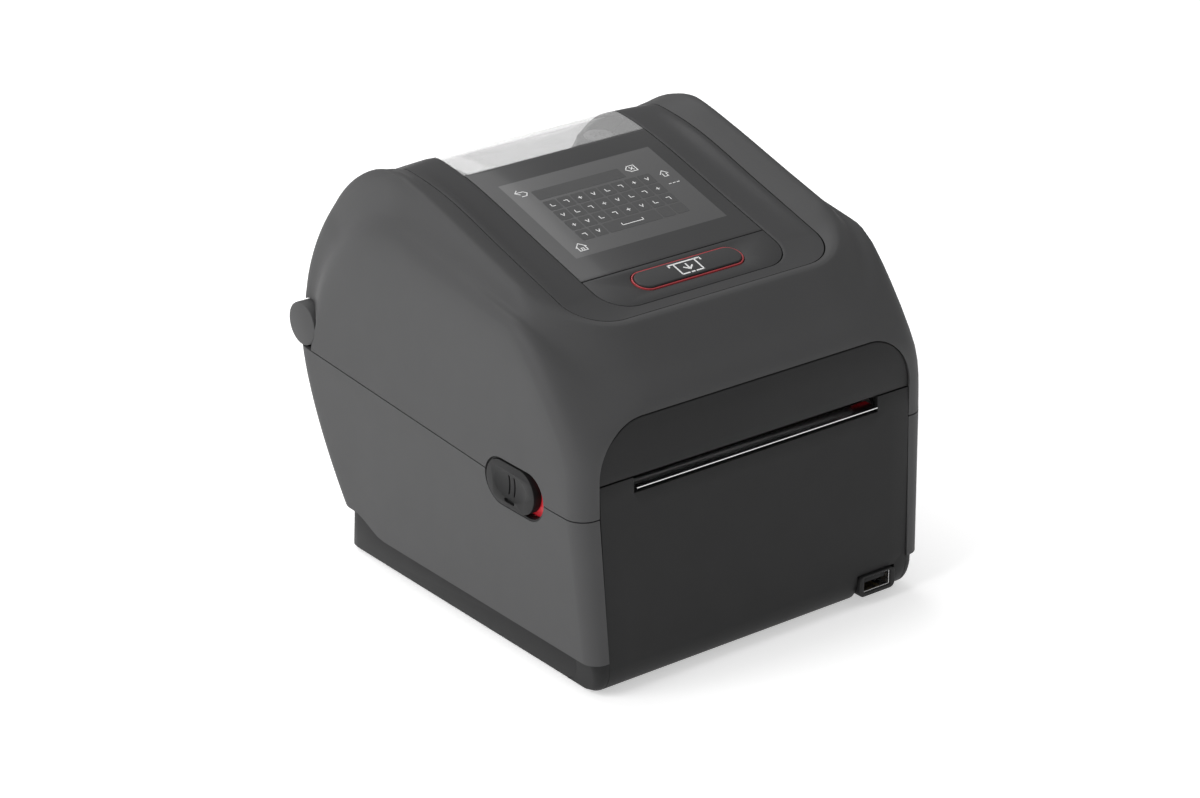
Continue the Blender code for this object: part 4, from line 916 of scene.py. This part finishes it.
def screen_marks():
    """Key tiles, an entry line and generic icons on the screen."""
    low, high, corner = -0.05, 0.05, 0.6
    across, down = KEY_SIZE
    inset = (KEY_PITCH[0] - across) / 2
    tile = prism("Z", low, high, rounded((-across / 2, -down / 2), (across / 2, down / 2), corner, 3))
    keys = repeated(tile, KEY_PITCH, (KEY_COLUMNS, KEY_ROWS), KEY_INK,
                    (KEYS_LEFT + (KEY_COLUMNS - 1) / 2 * KEY_PITCH[0], KEYS_TOP - KEY_PITCH[1], 0.0))
    low_row = KEYS_TOP - KEY_ROWS * KEY_PITCH[1]
    entry_row = KEYS_TOP + KEY_PITCH[1] + 0.6
    spans = [(-0.5, 0.5, low_row), (0.5, 1.5, low_row), (1.5, 5.5, low_row), (5.5, 6.5, low_row),
             (6.5, 7.5, low_row), (-0.5, 6.0, entry_row)]
    wide = []
    for start, end, row in spans:
        first = (KEYS_LEFT + start * KEY_PITCH[0] + inset, row - down / 2)
        last = (KEYS_LEFT + end * KEY_PITCH[0] - inset, row + down / 2)
        wide.append(prism("Z", low, high, rounded(first, last, corner, 3)))
    finished("screen_keys", on_glass(joined(keys, *wide)), KEY_INK, "cover")

    strokes = []
    for row in range(KEY_ROWS):
        for column in range(KEY_COLUMNS):
            place = (KEYS_LEFT + column * KEY_PITCH[0], KEYS_TOP - row * KEY_PITCH[1])
            strokes += key_mark(place, (row * 3 + column) % 4)
    strokes += key_mark((KEYS_LEFT, low_row), 1)
    strokes += key_mark((KEYS_LEFT + KEY_PITCH[0], low_row), 3)
    space_bar = [[(-5.0, 0.5), (-5.0, -0.7), (5.0, -0.7), (5.0, 0.5)]]
    back_arrow = [[(-2.4, 1.4), (1.2, 1.4), (2.4, 0.2), (1.2, -1.4), (-1.0, -1.4)],
                  [(-1.0, 2.8), (-2.6, 1.4), (-1.0, 0.0)]]
    house = [[(-2.4, 0.0), (0.0, 2.4), (2.4, 0.0)],
             [(-1.8, 0.4), (-1.8, -2.2), (1.8, -2.2), (1.8, 0.4)],
             [(-0.5, -2.2), (-0.5, -0.6), (0.5, -0.6), (0.5, -2.2)]]
    erase = [[(-2.6, 0.0), (-1.0, 1.8), (2.2, 1.8), (2.2, -1.8), (-1.0, -1.8), (-2.6, 0.0)],
             [(-0.5, 0.8), (1.1, -0.8)],
             [(-0.5, -0.8), (1.1, 0.8)]]
    up_arrow = [[(-1.9, 0.0), (0.0, 2.0), (1.9, 0.0)],
                [(-0.9, 0.0), (-0.9, -1.8), (0.9, -1.8), (0.9, 0.0)]]
    dashes = [[(2.0 * i, 0.0), (2.0 * i + 1.0, 0.0)] for i in range(3)]
    for place, lines in (((KEYS_LEFT + 23.0, low_row), space_bar), ((-31.0, 85.0), back_arrow),
                         ((-30.4, 47.2), house), ((20.5, 83.0), erase), ((31.0, 75.0), up_arrow),
                         ((28.5, 68.4), dashes)):
        strokes += moved(place, lines)
    marks("screen_icons", strokes, "cover", 0.09, 0.36, on_glass)


def key_mark(place, kind):
    """A small plain sign on a key: a corner, a hook, a cross or a chevron."""
    a = 0.75
    signs = ([[(-a, -a), (-a, a)], [(-a, -a), (a, -a)]],
             [[(-a, a), (a, a), (a, -a)]],
             [[(-a, 0.0), (a, 0.0)], [(0.0, -a), (0.0, a)]],
             [[(-a, a), (0.0, -a), (a, a)]])
    return moved(place, signs[kind])


# ------------------------------------------------------------------ front and lower housing

def front_panels():
    """The dark panels above and below the label slot."""
    r, x = PANEL_R, PANEL_HALF
    outline = ([(-x, PANEL_SPLIT_Z + GAP), (x, PANEL_SPLIT_Z + GAP)]
               + arc((x - r, PANEL_TOP_Z - r), r, 4, 90, 24) + arc((r - x, PANEL_TOP_Z - r), r, 90, 176, 24))
    upper = Work(prism("Y", front(5.3), front(7.7), outline)).edges(0.35, 3)
    finished("slot_panel_upper", upper.mesh(), BLACK, "cover", ["front_panel_upper"])

    line = [(mix(front(5.0), CHIN_Y, i / 12), mix(PANEL_SPLIT_Z, CHIN_Z, i / 12)) for i in range(13)]
    line += [(CHIN_Y + CHIN_DEPTH * (1 - math.cos(a)), CHIN_Z - CHIN_DROP * math.sin(a))
             for a in (math.radians(5 * i) for i in range(1, 19))]
    rows = []
    for y, z in line:
        share = min(1.0, (z - SHELL_FOOT_Z) / (SEAM_Z - SHELL_FOOT_Z))
        half = PANEL_HALF - PANEL_NARROW * (1 - share)
        rows.append([(half * (1 - i / 8), y, z) for i in range(17)])
    lower = Work(sheet(rows)).modifier("SOLIDIFY", thickness=WALL, offset=-1.0, use_even_offset=True)
    ahead, behind = front(-6.0), front(16.0)
    reach = MEDIA_WIDTH / 2 + 0.7
    lower.cut(box((-reach, ahead, PANEL_SPLIT_Z - SLOT_HEIGHT), (reach, behind, PANEL_SPLIT_Z + 4.0)))
    usb_half = USB_HALF + USB_GAP
    lower.cut(box((USB_X - usb_half, ahead, FOOT_HEIGHT - 2.0),
                  (USB_X + usb_half, behind, USB_Z + USB_RISE + USB_GAP)))
    lower.edges(0.35, 3)
    finished("slot_panel_lower", lower.mesh(), BLACK, "base", ["front_panel_lower"])


def shell_foot_z(y):
    """Height of the grey shell's lower edge, which kicks up towards the back."""
    kick = min(1.0, max(0.0, (y - rear(58.0)) / 20.0))
    return SHELL_FOOT_Z + SHELL_KICK * kick * kick * (3 - 2 * kick)


def housing_ring(share):
    """Left half of a ring round the lower housing, from the front strip to the middle of the back."""
    half = mix(side(3.5), side(0.0), share)
    near = mix(front(0.7), front(4.5), share)
    far = mix(rear(25.0), rear(2.5), 1.0 - (1.0 - share) ** 1.6)
    strip = PANEL_HALF - mix(PANEL_NARROW, 0.0, share) + GAP
    r, rb = mix(6.5, 8.0, share), 10.0
    plan = [(-strip, near), (-(half - r), near)]
    plan += arc((-(half - r), near + r), r, 270, 180, CORNER_STEPS)[1:]
    plan += [(-half, mix(near + r, far - rb, i / 32)) for i in range(1, 32)]
    plan += arc((-(half - rb), far - rb), rb, 180, 90, CORNER_STEPS)
    plan += [(-(half - rb) * (1 - i / 6), far) for i in range(1, 7)]
    return [(x, y, mix(shell_foot_z(y), seam_z(y) - SEAM_GAP / 2, share)) for x, y in plan]


def lower_housing():
    """The grey wall of the base."""
    work = halves(sheet([housing_ring(1 - i / 16) for i in range(17)]))
    work.modifier("SOLIDIFY", thickness=WALL, offset=-1.0, use_even_offset=True)
    work.cut(rod("X", -side(-5.0), side(-5.0), HINGE, EAR_R + GAP))
    cut_latches(work)
    finished("lower_housing_skin", work.mesh(), GREY, "base", ["lower_housing"])


# ------------------------------------------------------------------ pieces refined from the frame

def refined(node, material, width):
    """A CAD node's own shape with its edges rounded."""
    work = bmesh.new()
    work.from_mesh(frame["nodes"][node].data)
    bmesh.ops.remove_doubles(work, verts=work.verts, dist=1e-6)
    bmesh.ops.scale(work, vec=(1 / SCALE,) * 3, verts=work.verts)
    bmesh.ops.dissolve_limit(work, angle_limit=math.radians(1.0), verts=work.verts, edges=work.edges)
    mesh = bpy.data.meshes.new(node)
    work.to_mesh(mesh)
    work.free()
    shaped = Work(mesh).edges(width).mesh()
    parent = frame["nodes"][node].parent.name
    body = next(name for name, empty in frame["bodies"].items() if empty.name == parent)
    finished(node + "_fine", shaped, material, body, [node], smooth=34.0)


# ------------------------------------------------------------------ latches

def latch(sign, name):
    """A latch button with a dished face, two upright grooves and a small slot under them."""
    y, z = LATCH_BUTTON_Y, LATCH_Z
    outer, inner = side(0.0), side(LATCH_BUTTON_T)
    outside = sign * (outer + 1.0)
    cap = Work(prism("X", sign * inner, sign * outer,
                     stadium((y, z), LATCH_BUTTON_LENGTH, LATCH_BUTTON_HEIGHT, 28)))
    dish_size = (2.4, LATCH_BUTTON_LENGTH / 2 - 2.6, LATCH_BUTTON_HEIGHT / 2 - 2.2)
    dish = bmesh.new()
    bmesh.ops.create_uvsphere(dish, u_segments=48, v_segments=32, radius=1.0)
    bmesh.ops.scale(dish, vec=dish_size, verts=dish.verts)
    bmesh.ops.translate(dish, vec=(sign * (outer + 1.2), y, z), verts=dish.verts)
    cap.cut(from_bmesh(dish))
    half_width, half_height = 0.4, 4.0
    for at in (y - 1.6, y + 1.6):
        groove = rounded((at - half_width, z - half_height), (at + half_width, z + half_height), 0.38, 4)
        cap.cut(prism("X", sign * (outer - 2.4), outside, groove))
    cap.cut(prism("X", sign * (outer - 1.3), outside, stadium((y + 0.5, z - 6.3), 6.4, 1.7, 8)))
    cap.edges(0.5, 3, 50.0)
    body = f"latch_{name}"
    finished(f"latch_cap_{name}", cap.mesh(), BLACK, body, [f"latch_button_{name}"])


def latch_well(sign, name):
    """The dark walls of a latch recess, one half on the cover and one on the base."""
    outer, inner = side(0.8), side(3.4)
    clear, past = 0.05, 30.0
    for body, low, high in (("cover", seam_z(LATCH_Y) + SEAM_GAP, LATCH_Z + past),
                            ("base", LATCH_Z - past, seam_z(LATCH_Y) - SEAM_GAP)):
        wall = Work(prism("X", sign * inner, sign * outer, latch_outline(-clear)))
        wall.cut(prism("X", sign * (inner - 1.0), sign * (outer + 1.0),
                       latch_outline(-clear - LATCH_WELL_T)))
        keep = box((-HALF_WIDTH, LATCH_Y - past, low), (HALF_WIDTH, LATCH_Y + past, high))
        wall.cut(keep, "INTERSECT")
        finished(f"latch_well_{name}_{body}", wall.mesh(), BLACK, body)


def latch_floor(sign, name):
    """The red floor that shows at the low front corner of a latch recess."""
    edge = LATCH_Y - LATCH_LENGTH / 2
    inner, outer = side(LATCH_BUTTON_T + 1.5), side(LATCH_BUTTON_T + 0.7)
    floor = Work(prism("X", sign * inner, sign * outer, latch_outline(-0.9)))
    floor.cut(box((-HALF_WIDTH, edge - 2.0, LATCH_Z - LATCH_HEIGHT),
                  (HALF_WIDTH, edge + 14.0, LATCH_Z - 1.2)), "INTERSECT")
    # The red floor's glow comes from painted light in its material, not from a lamp.
    finished(f"latch_floor_{name}", floor.mesh(), RED, "base")


# ------------------------------------------------------------------ sockets, guides and fittings

def around_node(node, grow=0.0):
    """Low and high corners of a CAD node, in millimetres, grown all round."""
    low, high = (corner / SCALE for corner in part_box(node))
    return low - Vector((grow,) * 3), high + Vector((grow,) * 3)


def usb_housing():
    """The small rounded housing round the front USB socket."""
    low, high = around_node("usb_bezel")
    port_low, port_high = around_node("usb_host_port", 0.02)
    outline = rounded((USB_X - USB_HALF, low.z), (USB_X + USB_HALF, USB_Z + USB_RISE), 2.4)
    shell = Work(prism("Y", low.y, high.y, outline))
    shell.cut(box((port_low.x, low.y - 1.0, port_low.z), (port_high.x, high.y + 1.0, port_high.z)))
    finished("usb_housing", shell.edges(0.5, 3).mesh(), BLACK, "base", ["usb_bezel"])


def rear_sockets():
    """The rear plate with its openings, and the sockets with their contacts."""
    low, high = around_node("rear_io_plate")
    past, wall, hollow = 2.0, 0.9, 11.0
    plate = Work(box(low, high))
    for node in ("dc_inlet", "usb_device_port", "ethernet_port", "power_button"):
        a, b = around_node(node, 0.3)
        plate.cut(box((a.x, low.y - past, a.z), (b.x, high.y + past, b.z)))
    finished("rear_plate", plate.edges(0.25).mesh(), BLACK, "base", ["rear_io_plate"])

    for node, material, slot in (("usb_device_port", STEEL, "polished_steel"),
                                 ("ethernet_port", STEEL, "polished_steel"),
                                 ("dc_inlet", BLACK, "panel_black")):
        a, b = around_node(node)
        shell = Work(box(a, b))
        x, z = (a.x + b.x) / 2, (a.z + b.z) / 2
        if node == "dc_inlet":
            shell.cut(rod("Y", b.y - 10.0, b.y + past, (x, z), 3.2))
            pin = Work(rod("Y", b.y - 10.4, b.y - 1.6, (x, z), 1.0, 24)).edges(0.3)
            finished("dc_pin", pin.mesh(), STEEL, "base")
        else:
            shell.cut(box((a.x + wall, b.y - hollow, a.z + wall), (b.x - wall, b.y + past, b.z - wall)))
        finished(node + "_shell", shell.edges(0.2).mesh(), material, "base", [node])

    a, b = around_node("ethernet_port")
    strip = box((-0.2, -3.2, -0.15), (0.2, 3.2, 0.15))
    middle = ((a.x + b.x) / 2, b.y - 5.0, b.z - 1.6)
    strips = repeated(strip, (1.3, 1.0), (8, 1), BRASS, middle)
    finished("ethernet_contacts", strips, BRASS, "base")
    a, b = around_node("usb_device_port")
    x, z = (a.x + b.x) / 2, (a.z + b.z) / 2
    tongue = Work(box((x - 2.6, b.y - 10.0, z - 1.4), (x + 2.6, b.y - 1.6, z + 1.4))).edges(0.3)
    finished("usb_device_tongue", tongue.mesh(), NYLON, "base")


def base_corner(sign, name):
    """The rounded corner between the base strip and the chin of the front panel."""
    inside = PANEL_HALF - PANEL_NARROW
    length = 14.0
    rings = []
    for i in range(17):
        z = mix(SHELL_FOOT_Z - 0.2, FOOT_HEIGHT, i / 16)
        back = 0.1
        if z < CHIN_Z:
            back = CHIN_DEPTH * (1 - math.sqrt(max(0.0, 1 - ((CHIN_Z - z) / CHIN_DROP) ** 2)))
        half = mix(side(8.4), side(6.0), (z - FOOT_HEIGHT) / (SHELL_FOOT_Z - FOOT_HEIGHT))
        y, r = CHIN_Y + back, half - inside - 0.05
        corner = arc((half - r, y + r), r, 270, 360, 8)
        plan = [(inside, y + length), (inside, y), *corner, (half, y + length)]
        rings.append([(sign * u, v, z) for u, v in plan])
    work = bmesh.new()
    grid = [[work.verts.new(point) for point in ring] for ring in rings]
    count = len(grid[0])
    for upper, lower in zip(grid, grid[1:]):
        for i in range(count):
            work.faces.new((upper[i], upper[(i + 1) % count], lower[(i + 1) % count], lower[i]))
    work.faces.new(grid[0])
    work.faces.new(grid[-1])
    finished(f"base_corner_{name}", from_bmesh(work), BASE, "base")


def usb_tongue():
    """The tongue and its four contacts inside the front USB socket."""
    near = around_node("usb_host_port")[0].y
    half = 5.4
    tongue = Work(box((USB_X - half, near + 1.2, USB_Z + 0.2), (USB_X + half, near + 13.2, USB_Z + 2.1)))
    finished("usb_tongue", tongue.edges(0.2).mesh(), BLACK, "base")
    contact = box((-0.5, -3.6, -0.06), (0.5, 3.6, 0.06))
    strips = repeated(contact, (2.3, 1.0), (4, 1), BRASS, (USB_X, near + 5.4, USB_Z + 0.16))
    finished("usb_contacts", strips, BRASS, "base")


def guide_pads():
    """The thumb pad on each roll guide, with its stem and its grooved round top."""
    y, top, thickness = 54.0, 156.3, 2.4
    half_across, half_along = 7.5, 8.0
    stem_front, stem_back, stem_foot = 46.5, 56.5, 147.0
    for sign, name in ((-1, "left"), (1, "right")):
        x = sign * (GUIDE_SET / 2 - 4.8)
        outline = rounded((x - half_across, y - half_along), (x + half_across, y + half_along), 5.0)
        pad = Work(prism("Z", top - thickness, top, outline)).edges(0.6, 3)
        middle = sign * (GUIDE_SET / 2 + GUIDE_T / 2)
        half = GUIDE_T / 2 - 0.1
        stem = box((middle - half, stem_front, stem_foot), (middle + half, stem_back, top - 1.0))
        finished(f"guide_pad_{name}", joined(pad.mesh(), stem), INNER, f"guide_{name}")
        disc = Work(rod("Z", top - 0.4, top + 0.9, (x, y), 5.9)).edges(0.5, 3)
        for angle in (30, 90, 150):
            disc.cut(prism("Z", top + 0.4, top + 3.0, turned_bar((x, y), angle, 7.0, 0.8)))
        finished(f"guide_disc_{name}", disc.mesh(), DISC, f"guide_{name}")


def turned_bar(centre, angle, length, width):
    """A thin bar's outline, turned about its middle."""
    c, s = math.cos(math.radians(angle)), math.sin(math.radians(angle))
    return [(centre[0] + u * c - v * s, centre[1] + u * s + v * c)
            for u, v in ((-length / 2, -width / 2), (length / 2, -width / 2),
                         (length / 2, width / 2), (-length / 2, width / 2))]


def underside():
    """Vents and screws under the base."""
    slot = prism("Z", -0.15, 0.15, stadium((0.0, 0.0), 26.0, 2.6, 8))
    floor = around_node("bottom_tray")[0].z
    vents = repeated(slot, (34.0, 5.2), (3, 9), RUBBER, (0.0, -6.0, floor))
    finished("floor_vents", vents, RUBBER, "base")
    head = Work(rod("Z", -0.55, 0.35, (0.0, 0.0), 3.1, 24))
    for angle in (0, 90):
        head.cut(prism("Z", -1.0, -0.1, turned_bar((0.0, 0.0), angle, 3.6, 0.9)))
    screws = repeated(head.edges(0.2).mesh(), (110.0, 96.0), (2, 2), STEEL, (0.0, -8.0, floor + 0.2))
    finished("floor_screws", screws, STEEL, "base")


def boards():
    """Chips, a plug and capacitors on the main board."""
    top = around_node("main_board")[1].z
    parts = []
    for x, y, width, depth, height in ((-30, 48, 14, 14, 1.4), (2, 46, 10, 10, 1.2),
                                       (30, 50, 12, 8, 1.4), (46, 44, 8, 6, 3.0)):
        parts.append(box((x - width / 2, y - depth / 2, top), (x + width / 2, y + depth / 2, top + height)))
    finished("board_chips", Work(joined(*parts)).edges(0.15).mesh(), BLACK, "base")
    can = rod("Z", 0.0, 4.6, (0.0, 0.0), 2.2, 24)
    cans = repeated(can, (6.0, 5.6), (4, 1), SHEET_METAL, (-8.0, 55.0, top))
    finished("board_capacitors", cans, SHEET_METAL, "base")


def print_head_parts():
    """The ceramic strip under the print head, with its heating line."""
    low, high = around_node("print_head")
    strip = box((low.x + 1.0, low.y + 3.4, low.z - 0.12), (high.x - 1.0, high.y - 5.2, low.z + 0.3))
    finished("heating_strip", Work(strip).edges(0.1).mesh(), CERAMIC, "print_head_unit")
    line = box((low.x + 3.0, low.y + 6.2, low.z - 0.2), (high.x - 3.0, low.y + 6.8, low.z))
    finished("heating_line", line, BRASS, "print_head_unit")


# ------------------------------------------------------------------ floor, lights and camera

def surroundings():
    """Floor, lights and camera."""
    floor_radius, floor_thickness, floor_glow, daylight = 6000.0, 20.0, 0.48, 0.38
    disc = prism("Z", -floor_thickness, 0.0, arc((0.0, 0.0), floor_radius, 0, 354, 59))
    floor = bpy.data.objects.new("floor", disc)
    floor.data.transform(Matrix.Scale(SCALE, 4))
    bpy.context.scene.collection.objects.link(floor)
    pale = Finish("floor_paper")
    pale.colour(pale.between(pale.noise(400.0), (0.86, 0.86, 0.86), (0.89, 0.89, 0.89)))
    pale.rough(0.9 + pale.noise(60.0) * 0.05)
    pale.shader.inputs["Emission Color"].default_value = (1.0, 1.0, 1.0, 1.0)
    pale.shader.inputs["Emission Strength"].default_value = floor_glow
    floor.data.materials.append(pale.material)

    world = bpy.data.worlds.new("studio")
    world.use_nodes = True
    world.node_tree.nodes["Background"].inputs["Color"].default_value = (1.0, 1.0, 1.0, 1.0)
    world.node_tree.nodes["Background"].inputs["Strength"].default_value = daylight
    bpy.context.scene.world = world
    bpy.context.scene.view_settings.view_transform = "Standard"
    for name, spot, size, power in (("key_softbox", (-1.7, 0.1, 1.2), 1.2, 24.0),
                                    ("top_softbox", (0.0, 0.9, 1.9), 1.6, 20.0),
                                    ("fill_softbox", (1.4, -1.5, 0.9), 1.2, 0.5)):
        light = bpy.data.lights.new(name, "AREA")
        light.size = size
        light.energy = power
        holder = bpy.data.objects.new(name, light)
        holder.location = spot
        towards = Vector((0.0, 0.0, 0.08)) - Vector(spot)
        holder.rotation_euler = towards.to_track_quat("-Z", "Y").to_euler()
        bpy.context.scene.collection.objects.link(holder)

    dip, turn = 23.917, 37.755
    camera = bpy.data.objects.new("camera", bpy.data.cameras.new("camera"))
    camera.data.sensor_width = 36.0
    camera.data.lens = 109.7
    camera.data.clip_start = 0.05
    camera.location = (-0.8124, -1.0442, 0.6563)
    camera.rotation_euler = (math.radians(90.0 - dip), 0.0, math.radians(-turn))
    bpy.context.scene.collection.objects.link(camera)
    bpy.context.scene.camera = camera


# ------------------------------------------------------------------ building the printer

REFINED = {
    "bottom_tray": (BASE, "base_dark", 0.4), "tear_bar": (STEEL, "polished_steel", 0.1),
    "main_board": (BOARD, "board_green", 0.15),
    "usb_host_port": (STEEL, "polished_steel", 0.12), "hinge_barrel": (INNER, "inner_dark", 0.3),
    "media_tray": (INNER, "inner_dark", 0.3), "stepper_motor": (SHEET_METAL, "sheet_metal", 0.4),
    "idler_stud": (STEEL, "polished_steel", 0.15), "cover_board": (BOARD, "board_green", 0.15),
    "display_module": (BLACK, "panel_black", 0.2), "cover_liner": (INNER, "inner_dark", 0.3),
    "cover_back_panel": (GREY, "housing_grey", 0.3), "head_bracket": (SHEET_METAL, "sheet_metal", 0.2),
    "print_head": (SHEET_METAL, "head_aluminium", 0.3), "power_button": (BLACK, "panel_black", 0.4),
    "motor_pinion": (BRASS, "brass", 0.1), "idler_gear": (NYLON, "nylon_white", 0.12),
    "platen_gear": (NYLON, "nylon_white", 0.12), "platen_roller": (RUBBER, "rubber", 0.3),
    "platen_shaft": (STEEL, "polished_steel", 0.3), "guide_pinion": (NYLON, "nylon_white", 0.15),
    "gap_sensor": (BLACK, "panel_black", 0.2),
}
for hand in ("left", "right"):
    REFINED[f"chassis_plate_{hand}"] = (SHEET_METAL, "sheet_metal", 0.2)
    REFINED[f"platen_bearing_{hand}"] = (NYLON, "nylon_white", 0.2)
    REFINED[f"catch_{hand}"] = (SHEET_METAL, "sheet_metal", 0.2)
    REFINED[f"hinge_ear_{hand}"] = (GREY, "housing_grey", 0.5)
    # The latch hooks share the latch red, whose glow is painted light.
    REFINED[f"latch_hook_{hand}"] = (RED, "signal_red", 0.25)
    REFINED[f"media_guide_{hand}"] = (INNER, "inner_dark", 0.3)
    REFINED[f"roll_hub_{hand}"] = (BASE, "base_dark", 0.5)
for number in range(1, 5):
    REFINED[f"rubber_foot_{number}"] = (RUBBER, "rubber", 0.4)

surroundings()
cover_shell()
deck_trim()
glass_and_window()
control_plate()
feed_icon()
screen_marks()
front_panels()
lower_housing()
for hand, sign in (("left", -1), ("right", 1)):
    latch(sign, hand)
    latch_well(sign, hand)
    latch_floor(sign, hand)
    base_corner(sign, hand)
usb_housing()
rear_sockets()
usb_tongue()
guide_pads()
underside()
boards()
print_head_parts()
for node, (material, slot, width) in REFINED.items():
    refined(node, material, width)
